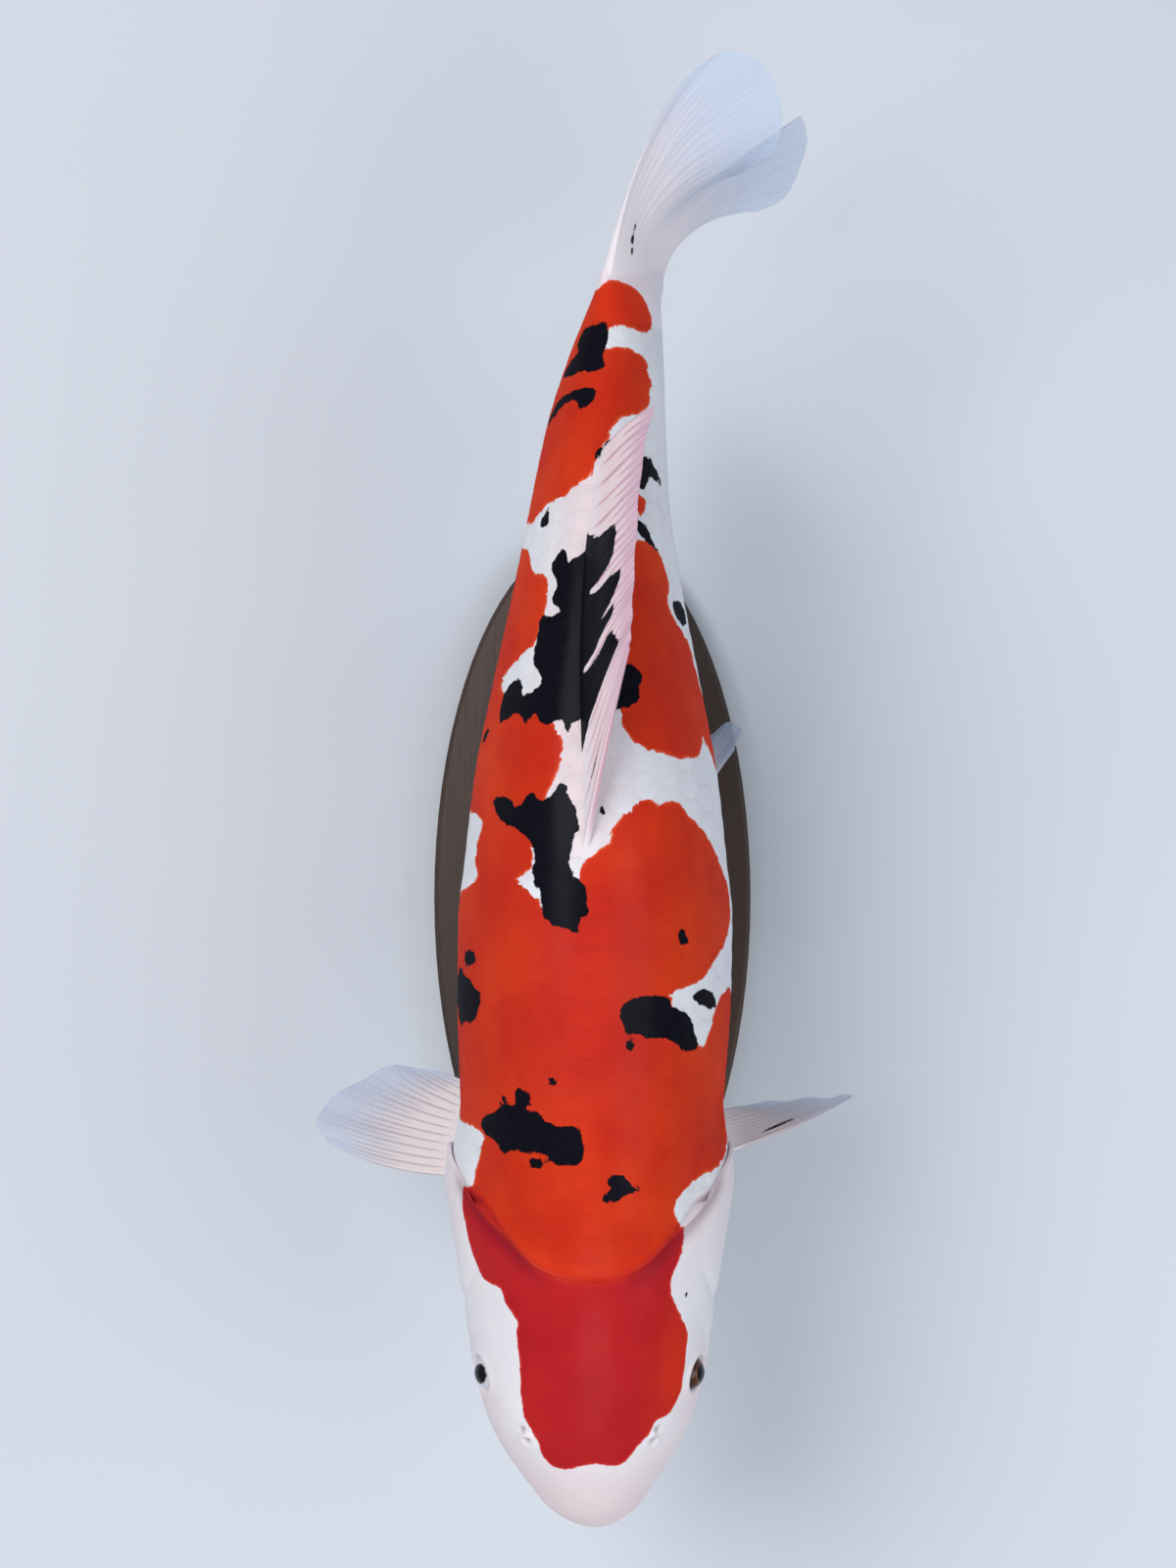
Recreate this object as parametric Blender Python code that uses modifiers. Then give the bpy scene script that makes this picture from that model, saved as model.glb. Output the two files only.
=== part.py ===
"""Koi carp: a life-size still model of a swimming fish, held on a plain display stand.

Metres, +Z up. The head points to -Y, the fish's left side to +X. The origin is the centre of the
stand's underside. The body's tables are in millimetres from the tip of the snout.
"""
import math

import bmesh
import bpy
import numpy as np
from mathutils import Vector

MM = 0.001
GAP = 0.3 * MM                  # between solids that touch

# The body: places along it, in millimetres from the tip of the snout
SNOUT_Y = -266.0                # the snout's place along Y
AXIS_Z = 176.0                  # the body's middle line above the floor
HEAD_MIDDLE = 140.0             # where the head's rear face has its middle
TAIL_STEM_START = 474.0         # behind the dorsal and anal fins
BODY_END = 536.0                # the end of the scaled tail stem
WRAP = 32                       # points round the body
TAIL_STEM_RINGS = 8
TRUNK_RINGS = 27
HEAD_RINGS = 19
SNOUT_FIRST = 0.6               # the first ring behind the tip

# (place, value) tables of the body's shape, read by smooth curves
CENTRE_X = ((0, 1.4), (30, -1.0), (70, -1.5), (150, -1.4), (178, -0.6), (260, 0.8), (360, 1.4),
            (430, 2.6), (470, 5.4), (500, 9.8), (520, 13.6), (536, 17.2))
HALF_WIDTH = ((0, 0), (4, 12.2), (10, 19.8), (18, 25.6), (27, 31.7), (37, 37.8), (47, 42.4),
              (69, 48.8), (85, 51.8), (107, 54.2), (150, 55.0), (192, 57.2), (230, 58.9), (262, 59.0),
              (287, 56.4), (325, 52.0), (362, 44.8), (404, 36.2), (438, 30.2), (472, 25.6),
              (500, 20.4), (520, 15.2), (536, 7.5))
TOP = ((0, -12), (4, 2), (10, 11.5), (18, 20), (37, 34.5), (69, 50), (107, 62), (164, 74),
       (206, 80), (250, 83), (290, 83), (330, 79.5), (370, 73), (410, 64.5), (450, 54.5),
       (480, 45), (505, 36.5), (524, 31.5), (536, 30))
BOTTOM = ((0, -12), (4, -22), (10, -27), (18, -31.5), (37, -40), (69, -50), (107, -59), (164, -68),
          (206, -72.5), (250, -74), (290, -73), (330, -69), (370, -62.5), (410, -53.5), (450, -43),
          (480, -35), (505, -30), (524, -28), (536, -28.5))
WIDEST = ((0, -12), (20, -8), (69, 2), (107, -4), (200, -8), (400, -5), (536, 0))
UPPER_FULLNESS = ((0, 2.0), (69, 2.05), (164, 2.15), (300, 2.1), (536, 2.0))
LOWER_FULLNESS = ((0, 2.0), (69, 2.2), (200, 2.3), (400, 2.1), (536, 2.0))
ROLL = ((0, 0), (160, 0), (230, 2), (290, 3), (400, 4), (460, 5), (495, 10), (520, 17), (536, 26))

# The head's rear edge: (degrees round from the middle of the back, millimetres from the snout)
NAPE_EDGE = ((0, 117), (20, 121), (38, 134), (54, 148), (72, 160), (92, 165.5), (122, 153),
             (152, 126), (180, 108))
GILL_FLARE = (96, 164, 7.0)     # the gill covers stand out between these places, by this much
SHOULDER_STEP = 1.2             # the scaled back stands this much above the head
GILL_SWELL = 4.2                # behind the gill covers the body swells by this much, at first
GILL_COVER_SIDE = (54, 132)     # the cover's upper and lower edges, degrees round
GILL_COVER_FRONT = ((54, 119), (75, 104), (95, 100), (115, 104), (132, 112))
GILL_COVER_THICK = 5.0

# The eyes: place along the body, degrees round, radius, and how much stands out
EYE_ALONG, EYE_ROUND = 72.5, 66.0
EYE_RADIUS, EYE_PROUD = 8.5, 3.2

# The lower jaw: its corner's place along the head, and the mouth's level there and in front
JAW_LENGTH, MOUTH_FRONT_Z, MOUTH_CORNER_Z = 30.0, -18.0, -26.0

# The stand
BASE_LENGTH, BASE_WIDTH, BASE_THICK, BASE_EDGE = 0.350, 0.152, 0.014, 0.002
ROD_RADIUS = 0.004
ROD_PLACES = {"stand_rod_front": -0.062, "stand_rod_rear": 0.082}
ROD_IN_BASE = 0.008             # depth of the holes in the base
ROD_IN_BODY = 0.022             # depth of the holes in the belly

WHITE = (0.80, 0.74, 0.70)
RED = (0.62, 0.035, 0.012)
FIN = (0.72, 0.58, 0.56)


def spline(table):
    """A smooth function through (place, value) points that never overshoots them."""
    place, value = np.array(table, float).T
    step = np.diff(place)
    rise = np.diff(value) / step
    slope = np.concatenate(([rise[0]], np.zeros(len(rise) - 1), [rise[-1]]))
    both = rise[:-1] * rise[1:]
    total = rise[:-1] + rise[1:]
    slope[1:-1] = np.where(both > 0, 2 * both / np.where(both > 0, total, 1), 0)

    def read(at):
        at = min(max(at, place[0]), place[-1])
        i = min(int(np.searchsorted(place, at, side="right")) - 1, len(step) - 1)
        t = (at - place[i]) / step[i]
        ends = value[i] * (1 + 2 * t) * (1 - t) ** 2 + value[i + 1] * t * t * (3 - 2 * t)
        lean = slope[i] * t * (1 - t) ** 2 - slope[i + 1] * t * t * (1 - t)
        return float(ends + lean * step[i])
    return read


def along_spline(table):
    """A table by distance from the snout, read over its square root, so that the snout is round."""
    curve = spline([(math.sqrt(place), value) for place, value in table])
    return lambda along: curve(math.sqrt(max(along, 0)))


centre_x, half_width = along_spline(CENTRE_X), along_spline(HALF_WIDTH)
top, bottom, widest = along_spline(TOP), along_spline(BOTTOM), along_spline(WIDEST)
upper_fullness, lower_fullness = spline(UPPER_FULLNESS), spline(LOWER_FULLNESS)
roll, nape_edge = spline(ROLL), spline(NAPE_EDGE)


def ease(low, high, at):
    """0 below low, 1 above high, smooth between."""
    t = min(max((at - low) / (high - low), 0), 1)
    return t * t * (3 - 2 * t)


def signed_power(value, power):
    return math.copysign(abs(value) ** power, value)


def gill_zone(round_deg):
    """1 round the sides where the gill covers end in a free flap, 0 over nape and throat."""
    return ease(50, 62, abs(round_deg)) * (1 - ease(128, 142, abs(round_deg)))


def body_point(along, round_deg, out=0.0, head=False):
    """A point of the body: along from the snout, round from the middle of the back, out from the
    skin. All in millimetres and degrees; the point is in metres."""
    angle = math.radians(round_deg)
    side, up = math.sin(angle), math.cos(angle)
    half, middle = half_width(along), widest(along)
    height = top(along) - middle if up >= 0 else middle - bottom(along)
    fullness = upper_fullness(along) if up >= 0 else lower_fullness(along)
    if head:
        start, end, flare = GILL_FLARE
        half += flare * ease(start, end, along)
    else:
        height += SHOULDER_STEP * (up > 0) * (1 - ease(150, 230, along))
        out += GILL_SWELL * gill_zone(round_deg) * (1 - ease(-3, 20, along - nape_edge(abs(round_deg))))
    power = 2 / fullness
    x = half * signed_power(side, power)
    z = height * signed_power(up, power)
    normal = Vector((signed_power(side, 2 - power) / max(half, 1), 0,
                     signed_power(up, 2 - power) / max(height, 1)))
    normal.normalize()
    x += out * normal.x
    z += middle + out * normal.z
    lean = math.radians(roll(along))
    turned_x = x * math.cos(lean) - z * math.sin(lean)
    turned_z = x * math.sin(lean) + z * math.cos(lean)
    return Vector((centre_x(along) + turned_x, SNOUT_Y + along, AXIS_Z + turned_z)) * MM


def rounds():
    return [360 * k / WRAP - 180 for k in range(WRAP)]


def material(name, colour, roughness, metallic=0.0):
    mat = bpy.data.materials.new(name)
    mat.use_nodes = True
    shader = mat.node_tree.nodes["Principled BSDF"]
    shader.inputs["Base Color"].default_value = (*colour, 1)
    shader.inputs["Roughness"].default_value = roughness
    shader.inputs["Metallic"].default_value = metallic
    return mat


def collection(name):
    group = bpy.data.collections.new(name)
    bpy.context.scene.collection.children.link(group)
    return group


def place(obj, group, mat=None):
    """Puts an object in its collection alone, with its material."""
    for old in list(obj.users_collection):
        old.objects.unlink(obj)
    group.objects.link(obj)
    if mat:
        obj.data.materials.clear()
        obj.data.materials.append(mat)
    return obj


def solid(name, points, faces, group, mat=None):
    """An object from points and faces, with its faces turned outwards."""
    mesh = bpy.data.meshes.new(name)
    mesh.from_pydata([tuple(point) for point in points], [], faces)
    shape = bmesh.new()
    shape.from_mesh(mesh)
    bmesh.ops.remove_doubles(shape, verts=shape.verts, dist=1e-6)
    bmesh.ops.recalc_face_normals(shape, faces=shape.faces)
    shape.to_mesh(mesh)
    shape.free()
    return place(bpy.data.objects.new(name, mesh), group, mat)


def loft(name, rings, first, last, group, mat=None):
    """A closed solid through rings, with a fan of faces to a point at each end."""
    count = len(rings[0])
    points = [point for ring in rings for point in ring] + [first, last]
    faces = []
    for row in range(len(rings) - 1):
        for k in range(count):
            a, b = row * count + k, row * count + (k + 1) % count
            faces.append((a, b, b + count, a + count))
    end = (len(rings) - 1) * count
    for k in range(count):
        after = (k + 1) % count
        faces.append((k, after, len(points) - 2))
        faces.append((end + k, end + after, len(points) - 1))
    return solid(name, points, faces, group, mat)


def sheet(name, grid, thick, group, mat=None):
    """A closed thin solid on both sides of a grid of points; thick is a function of the column."""
    rows, columns = len(grid), len(grid[0])
    points = []
    for side in (0.5, -0.5):
        for i in range(rows):
            for j in range(columns):
                over_i = grid[min(i + 1, rows - 1)][j] - grid[max(i - 1, 0)][j]
                over_j = grid[i][min(j + 1, columns - 1)] - grid[i][max(j - 1, 0)]
                normal = over_i.cross(over_j).normalized()
                points.append(grid[i][j] + normal * side * thick(j / (columns - 1)))
    layer = rows * columns
    faces = []
    for i in range(rows - 1):
        for j in range(columns - 1):
            a = i * columns + j
            quad = (a, a + 1, a + columns + 1, a + columns)
            faces += [quad, tuple(k + layer for k in reversed(quad))]
    rim = [i * columns for i in range(rows)]
    rim += [layer - columns + j for j in range(1, columns)]
    rim += [i * columns + columns - 1 for i in range(rows - 2, -1, -1)]
    rim += list(range(columns - 2, 0, -1))
    for a, b in zip(rim, rim[1:] + rim[:1]):
        faces.append((a, b, b + layer, a + layer))
    return solid(name, points, faces, group, mat)


def cut(obj, cutter, operation="DIFFERENCE"):
    modifier = obj.modifiers.new(cutter.name, "BOOLEAN")
    modifier.object = cutter
    modifier.operation = operation
    modifier.solver = "EXACT"


def as_cutter(obj):
    obj.hide_render = True
    obj.display_type = "WIRE"
    return obj


def head_loft(name, group, mat=None, out=0.0):
    """The head to its rear edge, which runs back from the nape to the gill covers' tips."""
    rings = []
    for row in range(HEAD_RINGS):
        part = (row / (HEAD_RINGS - 1)) ** 1.7
        rings.append([body_point(SNOUT_FIRST * (1 - part) + (nape_edge(abs(turn)) + out) * part,
                                 turn, out, head=True) for turn in rounds()])
    tip = body_point(0, 0)
    tip.y -= out * MM
    back = body_point(HEAD_MIDDLE + out, 0)
    back.z = AXIS_Z * MM
    return loft(name, rings, tip, back, group, mat)


def trunk_loft(name, group, mat=None, out=0.0, end=TAIL_STEM_START):
    """The scaled body from the nape's edge to the start of the tail stem."""
    rings = []
    for row in range(TRUNK_RINGS):
        part = row / (TRUNK_RINGS - 1)
        ring = []
        for turn in rounds():
            start = nape_edge(abs(turn)) + 1000 * GAP
            ring.append(body_point(start + (end - start) * part, turn, out))
        rings.append(ring)
    front = body_point(HEAD_MIDDLE + 1000 * GAP, 0)
    front.z = AXIS_Z * MM
    back = body_point(end, 0)
    back.z = AXIS_Z * MM
    return loft(name, rings, front, back, group, mat)


def tail_stem_loft(name, group, mat=None, out=0.0):
    """The tail stem, with a low rounded end where the tail fin's rays leave it."""
    start = TAIL_STEM_START + 1000 * GAP
    rings = [[body_point(start + (BODY_END - start) * row / (TAIL_STEM_RINGS - 1), turn, out)
              for turn in rounds()] for row in range(TAIL_STEM_RINGS)]
    ends = []
    for along in (start, BODY_END):
        point = body_point(along, 0)
        point.x, point.z = centre_x(along) * MM, AXIS_Z * MM
        ends.append(point)
    ends[1].y += 3 * MM
    return loft(name, rings, ends[0], ends[1], group, mat)


def gill_slab(name, side, group, grow=0.0):
    """The block of space that a gill cover fills, from inside the cheek to clear of the head."""
    front = spline(GILL_COVER_FRONT)
    low, high = GILL_COVER_SIDE
    spread = grow / 60 * 57.3
    rows, columns = 9, 7
    layers = []
    for out in (4.0, -GILL_COVER_THICK - grow):
        layer = []
        for i in range(rows):
            turn = low - spread + (high - low + 2 * spread) * i / (rows - 1)
            start = front(turn) - grow
            for j in range(columns):
                along = start + (nape_edge(turn) + 6 - start) * j / (columns - 1)
                layer.append(body_point(along, side * turn, out, head=True))
        layers.append(layer)
    points = layers[0] + layers[1]
    count = rows * columns
    faces = []
    for i in range(rows - 1):
        for j in range(columns - 1):
            a = i * columns + j
            quad = (a, a + 1, a + columns + 1, a + columns)
            faces += [quad, tuple(k + count for k in reversed(quad))]
    rim = [i * columns for i in range(rows)] + [count - columns + j for j in range(1, columns)]
    rim += [i * columns + columns - 1 for i in range(rows - 2, -1, -1)]
    rim += list(range(columns - 2, 0, -1))
    for a, b in zip(rim, rim[1:] + rim[:1]):
        faces.append((a, b, b + count, a + count))
    return as_cutter(solid(name, points, faces, group))


def jaw_wedge(name, group, grow=0.0):
    """The block of space under the mouth that the lower jaw fills."""
    front, back = SNOUT_Y - 6, SNOUT_Y + JAW_LENGTH + grow
    slope = (MOUTH_CORNER_Z - MOUTH_FRONT_Z) / JAW_LENGTH
    front_z = AXIS_Z + MOUTH_FRONT_Z - 6 * slope + grow
    back_z = AXIS_Z + MOUTH_CORNER_Z + grow
    low, half = AXIS_Z - 70, 70
    points = []
    for x in (-half, half):
        for y, z in ((front, low), (back + 6, low), (back, back_z), (front, front_z)):
            points.append(Vector((x, y, z)) * MM)
    faces = [(0, 1, 2, 3), (7, 6, 5, 4), (0, 4, 5, 1), (1, 5, 6, 2), (2, 6, 7, 3), (3, 7, 4, 0)]
    return as_cutter(solid(name, points, faces, group))


def eyeball(name, side, radius, group, mat=None):
    """An eye's ball, sunk in the head so that only its front stands out."""
    surface = body_point(EYE_ALONG, side * EYE_ROUND, head=True)
    centre = body_point(EYE_ALONG, side * EYE_ROUND, EYE_PROUD - EYE_RADIUS, head=True)
    bpy.ops.mesh.primitive_uv_sphere_add(segments=16, ring_count=9, radius=radius * MM,
                                         location=centre)
    obj = bpy.context.object
    obj.name = name
    obj.rotation_mode = "QUATERNION"
    obj.rotation_quaternion = (surface - centre).to_track_quat("Z", "Y")
    return place(obj, group, mat)


def barbel(name, along, turn, length, thick, group, mat):
    """A soft feeler that leaves the lip and hangs down and back, clear of the jaw."""
    curve = bpy.data.curves.new(name, "CURVE")
    curve.dimensions = "3D"
    curve.bevel_depth = thick / 2 * MM
    curve.bevel_resolution = 1
    curve.use_fill_caps = True
    line = curve.splines.new("POLY")
    stations = 7
    line.points.add(stations - 1)
    for k, point in enumerate(line.points):
        t = k / (stations - 1)
        spot = body_point(along + 0.62 * length * t, turn, -1.5 + 0.24 * length * t ** 0.7, head=True)
        spot.z -= 0.62 * length * t ** 1.25 * MM
        point.co = (*spot, 1)
        point.radius = 1 - 0.6 * t
    drawn = bpy.data.objects.new(name, curve)
    bpy.context.scene.collection.objects.link(drawn)
    ready = drawn.evaluated_get(bpy.context.evaluated_depsgraph_get())
    mesh = bpy.data.meshes.new_from_object(ready)
    bpy.data.objects.remove(drawn)
    shape = bmesh.new()
    shape.from_mesh(mesh)
    bmesh.ops.remove_doubles(shape, verts=shape.verts, dist=1e-6)
    bmesh.ops.recalc_face_normals(shape, faces=shape.faces)
    shape.to_mesh(mesh)
    shape.free()
    return place(bpy.data.objects.new(name, mesh), group, mat)


def key_line(keys):
    """A smooth line in space through (part, (x, y, z above the middle line)) points."""
    axes = [spline([(part, spot[axis]) for part, spot in keys]) for axis in range(3)]
    return lambda part: Vector((axes[0](part), axes[1](part), AXIS_Z + axes[2](part))) * MM


def fin(name, root, bend, tip, thick, rays, steps, group, mat):
    """A fin: rays from the root line to the edge, each an arc through its bend point."""
    root, bend, tip = key_line(root), key_line(bend), key_line(tip)
    grid = []
    for i in range(rays):
        part = i / (rays - 1)
        start, middle, end = root(part), bend(part), tip(part)
        grid.append([start * (1 - t) ** 2 + middle * 2 * t * (1 - t) + end * t * t
                     for t in (k / (steps - 1) for k in range(steps))])
    root_thick, edge_thick = thick
    return sheet(name, grid, lambda t: (root_thick + (edge_thick - root_thick) * t ** 0.6) * MM,
                 group, mat)


def flip(keys, inset=0.0):
    """The same key points on the fish's other side, drawn in by a little."""
    return [(part, (-x * (1 - inset), y, z)) for part, (x, y, z) in keys]


def dorsal_fin(group, mat):
    """Half folded: the long front rays lie back, and the whole fin leans to the fish's left."""
    return fin("dorsal_fin",
               root=((0, (-3.4, 24, 80)), (0.4, (-3.6, 92, 73)), (0.7, (-2.6, 142, 62)),
                     (1, (2.4, 191, 48))),
               bend=((0, (3, 62, 101)), (0.4, (3.5, 110, 93)), (0.7, (6, 150, 83)),
                     (1, (12, 202, 66))),
               tip=((0, (14.2, 108, 101)), (0.2, (15, 115, 100)), (0.41, (15.8, 129, 96)),
                    (0.66, (17.5, 158, 88)), (0.85, (20, 186, 78)), (1, (25, 209, 65))),
               thick=(2.6, 0.7), rays=18, steps=5, group=group, mat=mat)


def anal_fin(group, mat):
    """A short fin under the rear of the body, swept back."""
    return fin("anal_fin",
               root=((0, (6, 160, -48)), (0.5, (6.6, 178, -43)), (1, (7.2, 197, -37))),
               bend=((0, (9, 180, -76)), (0.5, (9.5, 198, -64)), (1, (9, 210, -50))),
               tip=((0, (11.5, 203, -98)), (0.15, (12, 212, -101)), (0.4, (12.3, 222, -91)),
                    (0.7, (11.5, 226, -74)), (1, (10.5, 222, -56))),
               thick=(2.6, 0.7), rays=9, steps=5, group=group, mat=mat)


def caudal_fin(group, mat):
    """The forked tail fin, swept to the fish's left, its upper lobe leaning over the lower one."""
    return fin("caudal_fin",
               root=((0, (6.5, 267, 28)), (0.5, (16.5, 271, 1)), (1, (27, 268, -26))),
               bend=((0, (20, 336, 46.5)), (0.25, (22, 322, 29)), (0.5, (27, 306, 1)),
                     (0.75, (32, 305, -28)), (1, (34, 307, -42))),
               tip=((0, (47, 354, 47)), (0.07, (57, 358.3, 47)), (0.14, (66, 356.3, 46)),
                    (0.22, (74.5, 348, 43)), (0.3, (79.5, 333, 35)), (0.4, (75, 319, 20)),
                    (0.48, (62, 315, 4)),
                    (0.55, (70, 324, -8)), (0.6, (82, 339, -20)), (0.68, (91.7, 347.5, -32)),
                    (0.77, (95, 339.5, -42)), (0.86, (92.3, 328, -48)), (0.94, (85, 315, -51)),
                    (1, (73.8, 309, -51))),
               thick=(6.0, 0.7), rays=22, steps=7, group=group, mat=mat)


def pectoral_fins(group, mat):
    """The right one is spread flat like a fan; the left one hangs turned, nearly edge up."""
    fin("pectoral_fin_right",
        root=((0, (-45, -116, -28)), (1, (-43, -84, -42))),
        bend=((0, (-86, -122, -44)), (0.5, (-80, -98, -58)), (1, (-57, -78, -60))),
        tip=((0, (-119, -106, -62)), (0.2, (-124.6, -97.5, -66)), (0.4, (-120, -89, -71)),
             (0.6, (-106, -80, -76)), (0.8, (-89, -73, -78)), (1, (-67.5, -75, -70))),
        thick=(3.0, 0.7), rays=14, steps=6, group=group, mat=mat)
    fin("pectoral_fin_left",
        root=((0, (45, -111, -30)), (1, (43, -90, -43))),
        bend=((0, (87, -101, -48)), (0.5, (80, -97, -63)), (1, (60, -92, -68))),
        tip=((0, (115, -86, -58)), (0.2, (117.7, -85, -66)), (0.5, (107, -88, -83)),
             (0.75, (90, -90, -92)), (1, (71.6, -91.5, -86))),
        thick=(3.0, 0.7), rays=14, steps=6, group=group, mat=mat)


def pelvic_fins(group, mat):
    """The belly's pair of fins, trailing back and out; the right one is held closer in."""
    root = ((0, (31, 18, -56)), (1, (24, 36, -58)))
    bend = ((0, (53, 52, -78)), (1, (36, 57, -86)))
    tip = ((0, (66, 76, -93)), (0.2, (70, 82, -98)), (0.5, (64, 86, -107)), (0.8, (52, 80, -112)),
           (1, (42, 70, -107)))
    shape = {"thick": (2.6, 0.7), "rays": 10, "steps": 5, "group": group, "mat": mat}
    fin("pelvic_fin_left", root, bend, tip, **shape)
    fin("pelvic_fin_right", flip(root), flip(bend, 0.15), flip(tip, 0.33), **shape)


def cylinder(name, radius, low, high, y, group, mat=None):
    bpy.ops.mesh.primitive_cylinder_add(vertices=24, radius=radius, depth=high - low,
                                        location=(0, y, (low + high) / 2))
    obj = bpy.context.object
    obj.name = name
    return place(obj, group, mat)


def stand(group, cutters, trunk):
    """An oval wooden base and two steel rods, which end in holes in the base and the belly."""
    bpy.ops.mesh.primitive_cylinder_add(vertices=80, radius=0.5, depth=BASE_THICK,
                                        location=(0, 0, BASE_THICK / 2))
    base = bpy.context.object
    base.name = "stand_base"
    for vertex in base.data.vertices:
        vertex.co.x *= BASE_WIDTH
        vertex.co.y *= BASE_LENGTH
    place(base, group, material("stand_wood", (0.045, 0.024, 0.014), 0.35))
    edge = base.modifiers.new("edge", "BEVEL")
    edge.width = BASE_EDGE
    edge.angle_limit = math.radians(60)
    for name, y in ROD_PLACES.items():
        belly = body_point(y / MM - SNOUT_Y, 180).z
        bottom_z, top_z = BASE_THICK - ROD_IN_BASE, belly + ROD_IN_BODY
        cylinder(name, ROD_RADIUS, bottom_z, top_z, y, group,
                 material(name + "_steel", (0.60, 0.60, 0.62), 0.25, 1.0))
        hole = cylinder(name + "_hole", ROD_RADIUS + GAP, bottom_z - GAP, top_z + GAP, y, cutters)
        cut(base, as_cutter(hole))
        cut(trunk, hole)


def build():
    for obj in list(bpy.data.objects):
        bpy.data.objects.remove(obj)
    parts, cutters = collection("koi_carp"), collection("cutters")
    fin_skin = material("fin_membrane", FIN, 0.3)

    head = head_loft("head", parts, material("head_skin", (0.60, 0.10, 0.07), 0.3))
    jaw = head_loft("lower_jaw", parts, material("jaw_skin", WHITE, 0.3))
    cut(jaw, jaw_wedge("jaw_space", cutters), "INTERSECT")
    cut(head, jaw_wedge("jaw_opening", cutters, 1000 * GAP))
    for side, label in ((1, "left"), (-1, "right")):
        cover = head_loft("gill_cover_" + label, parts, material("cover_skin_" + label, WHITE, 0.3))
        cut(cover, gill_slab("cover_space_" + label, side, cutters), "INTERSECT")
        cut(head, gill_slab("cover_opening_" + label, side, cutters, 1000 * GAP))
        eyeball("eye_" + label, side, EYE_RADIUS, parts, material("eye_" + label, (0.02,) * 3, 0.1))
        cut(head, as_cutter(eyeball("socket_" + label, side, EYE_RADIUS + 1000 * GAP, cutters)))

    trunk = trunk_loft("trunk", parts, material("trunk_skin", RED, 0.3))
    tail_stem_loft("tail_stem", parts, material("tail_skin", RED, 0.3))

    head_space = as_cutter(head_loft("head_space", cutters, out=1000 * GAP))
    trunk_space = as_cutter(trunk_loft("trunk_space", cutters, out=1000 * GAP))
    tail_space = as_cutter(tail_stem_loft("tail_space", cutters, out=1000 * GAP))
    dorsal_fin(parts, fin_skin)
    anal_fin(parts, fin_skin)
    caudal_fin(parts, fin_skin)
    pectoral_fins(parts, fin_skin)
    pelvic_fins(parts, fin_skin)
    cut(parts.objects["dorsal_fin"], trunk_space)
    cut(parts.objects["anal_fin"], trunk_space)
    cut(parts.objects["caudal_fin"], tail_space)
    for label in ("left", "right"):
        cut(parts.objects["pelvic_fin_" + label], trunk_space)
        cut(parts.objects["pectoral_fin_" + label], trunk_space)
        cut(parts.objects["pectoral_fin_" + label], head_space)

    feeler = material("barbel_skin", WHITE, 0.35)
    for side, label in ((1, "left"), (-1, "right")):
        cut(barbel("barbel_front_" + label, 12, side * 104, 12, 2.2, parts, feeler), head_space)
        cut(barbel("barbel_rear_" + label, 25, side * 116, 24, 2.8, parts, feeler), head_space)
    stand(parts, cutters, trunk)


build()
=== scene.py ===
"""Looks of the koi carp model: one patterned skin, overlapping scales, rayed fins, eyes and stand.

Metres in the frame's space. The body's own tables are in millimetres from the tip of the snout
and degrees round from the middle of the back, plus towards the fish's left side.
"""
import math

import bpy
import numpy as np
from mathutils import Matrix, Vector


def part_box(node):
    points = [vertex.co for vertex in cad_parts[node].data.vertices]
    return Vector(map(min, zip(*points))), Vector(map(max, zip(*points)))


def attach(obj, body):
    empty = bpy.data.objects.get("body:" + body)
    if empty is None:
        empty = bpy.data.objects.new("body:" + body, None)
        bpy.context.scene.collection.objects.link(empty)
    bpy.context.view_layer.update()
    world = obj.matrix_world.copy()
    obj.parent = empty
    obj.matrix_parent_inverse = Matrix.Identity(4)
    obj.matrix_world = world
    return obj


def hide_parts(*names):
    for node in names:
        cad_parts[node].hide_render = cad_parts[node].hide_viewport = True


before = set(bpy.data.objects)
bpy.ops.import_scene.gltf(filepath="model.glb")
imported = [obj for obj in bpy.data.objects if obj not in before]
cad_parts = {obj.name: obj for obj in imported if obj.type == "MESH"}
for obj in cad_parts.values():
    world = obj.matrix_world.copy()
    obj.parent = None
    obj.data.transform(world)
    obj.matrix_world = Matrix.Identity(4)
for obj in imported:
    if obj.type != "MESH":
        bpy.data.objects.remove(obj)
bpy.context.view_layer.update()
MM = 0.001


# The skin: one soft hide over head, jaw, gill covers, trunk and tail stem, smooth and bare on
# the head. The gill covers end behind in a free flap, and the nape's edge meets the first scales.
AXIS_Z, BODY_END = 176.0, 536.0
SNOUT_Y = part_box("head")[0][1] / MM
CENTRE_X = ((0, 1.4), (30, -1.0), (70, -1.5), (150, -1.4), (178, -0.6), (260, 0.8), (360, 1.4),
            (430, 2.6), (470, 5.4), (500, 9.8), (520, 13.6), (536, 17.2))
HALF_WIDTH = ((0, 0), (4, 12.2), (10, 19.8), (18, 25.6), (27, 31.7), (37, 37.8), (47, 42.4),
              (69, 48.8), (85, 51.8), (107, 54.2), (150, 55.0), (192, 57.2), (230, 58.9), (262, 59.0),
              (287, 56.4), (325, 52.0), (362, 44.8), (404, 36.2), (438, 30.2), (472, 25.6),
              (500, 20.4), (520, 15.2), (536, 7.5))
TOP = ((0, -12), (4, 2), (10, 11.5), (18, 20), (37, 34.5), (69, 50), (107, 62), (164, 74),
       (206, 80), (250, 83), (290, 83), (330, 79.5), (370, 73), (410, 64.5), (450, 54.5),
       (480, 45), (505, 36.5), (524, 31.5), (536, 30))
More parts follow.
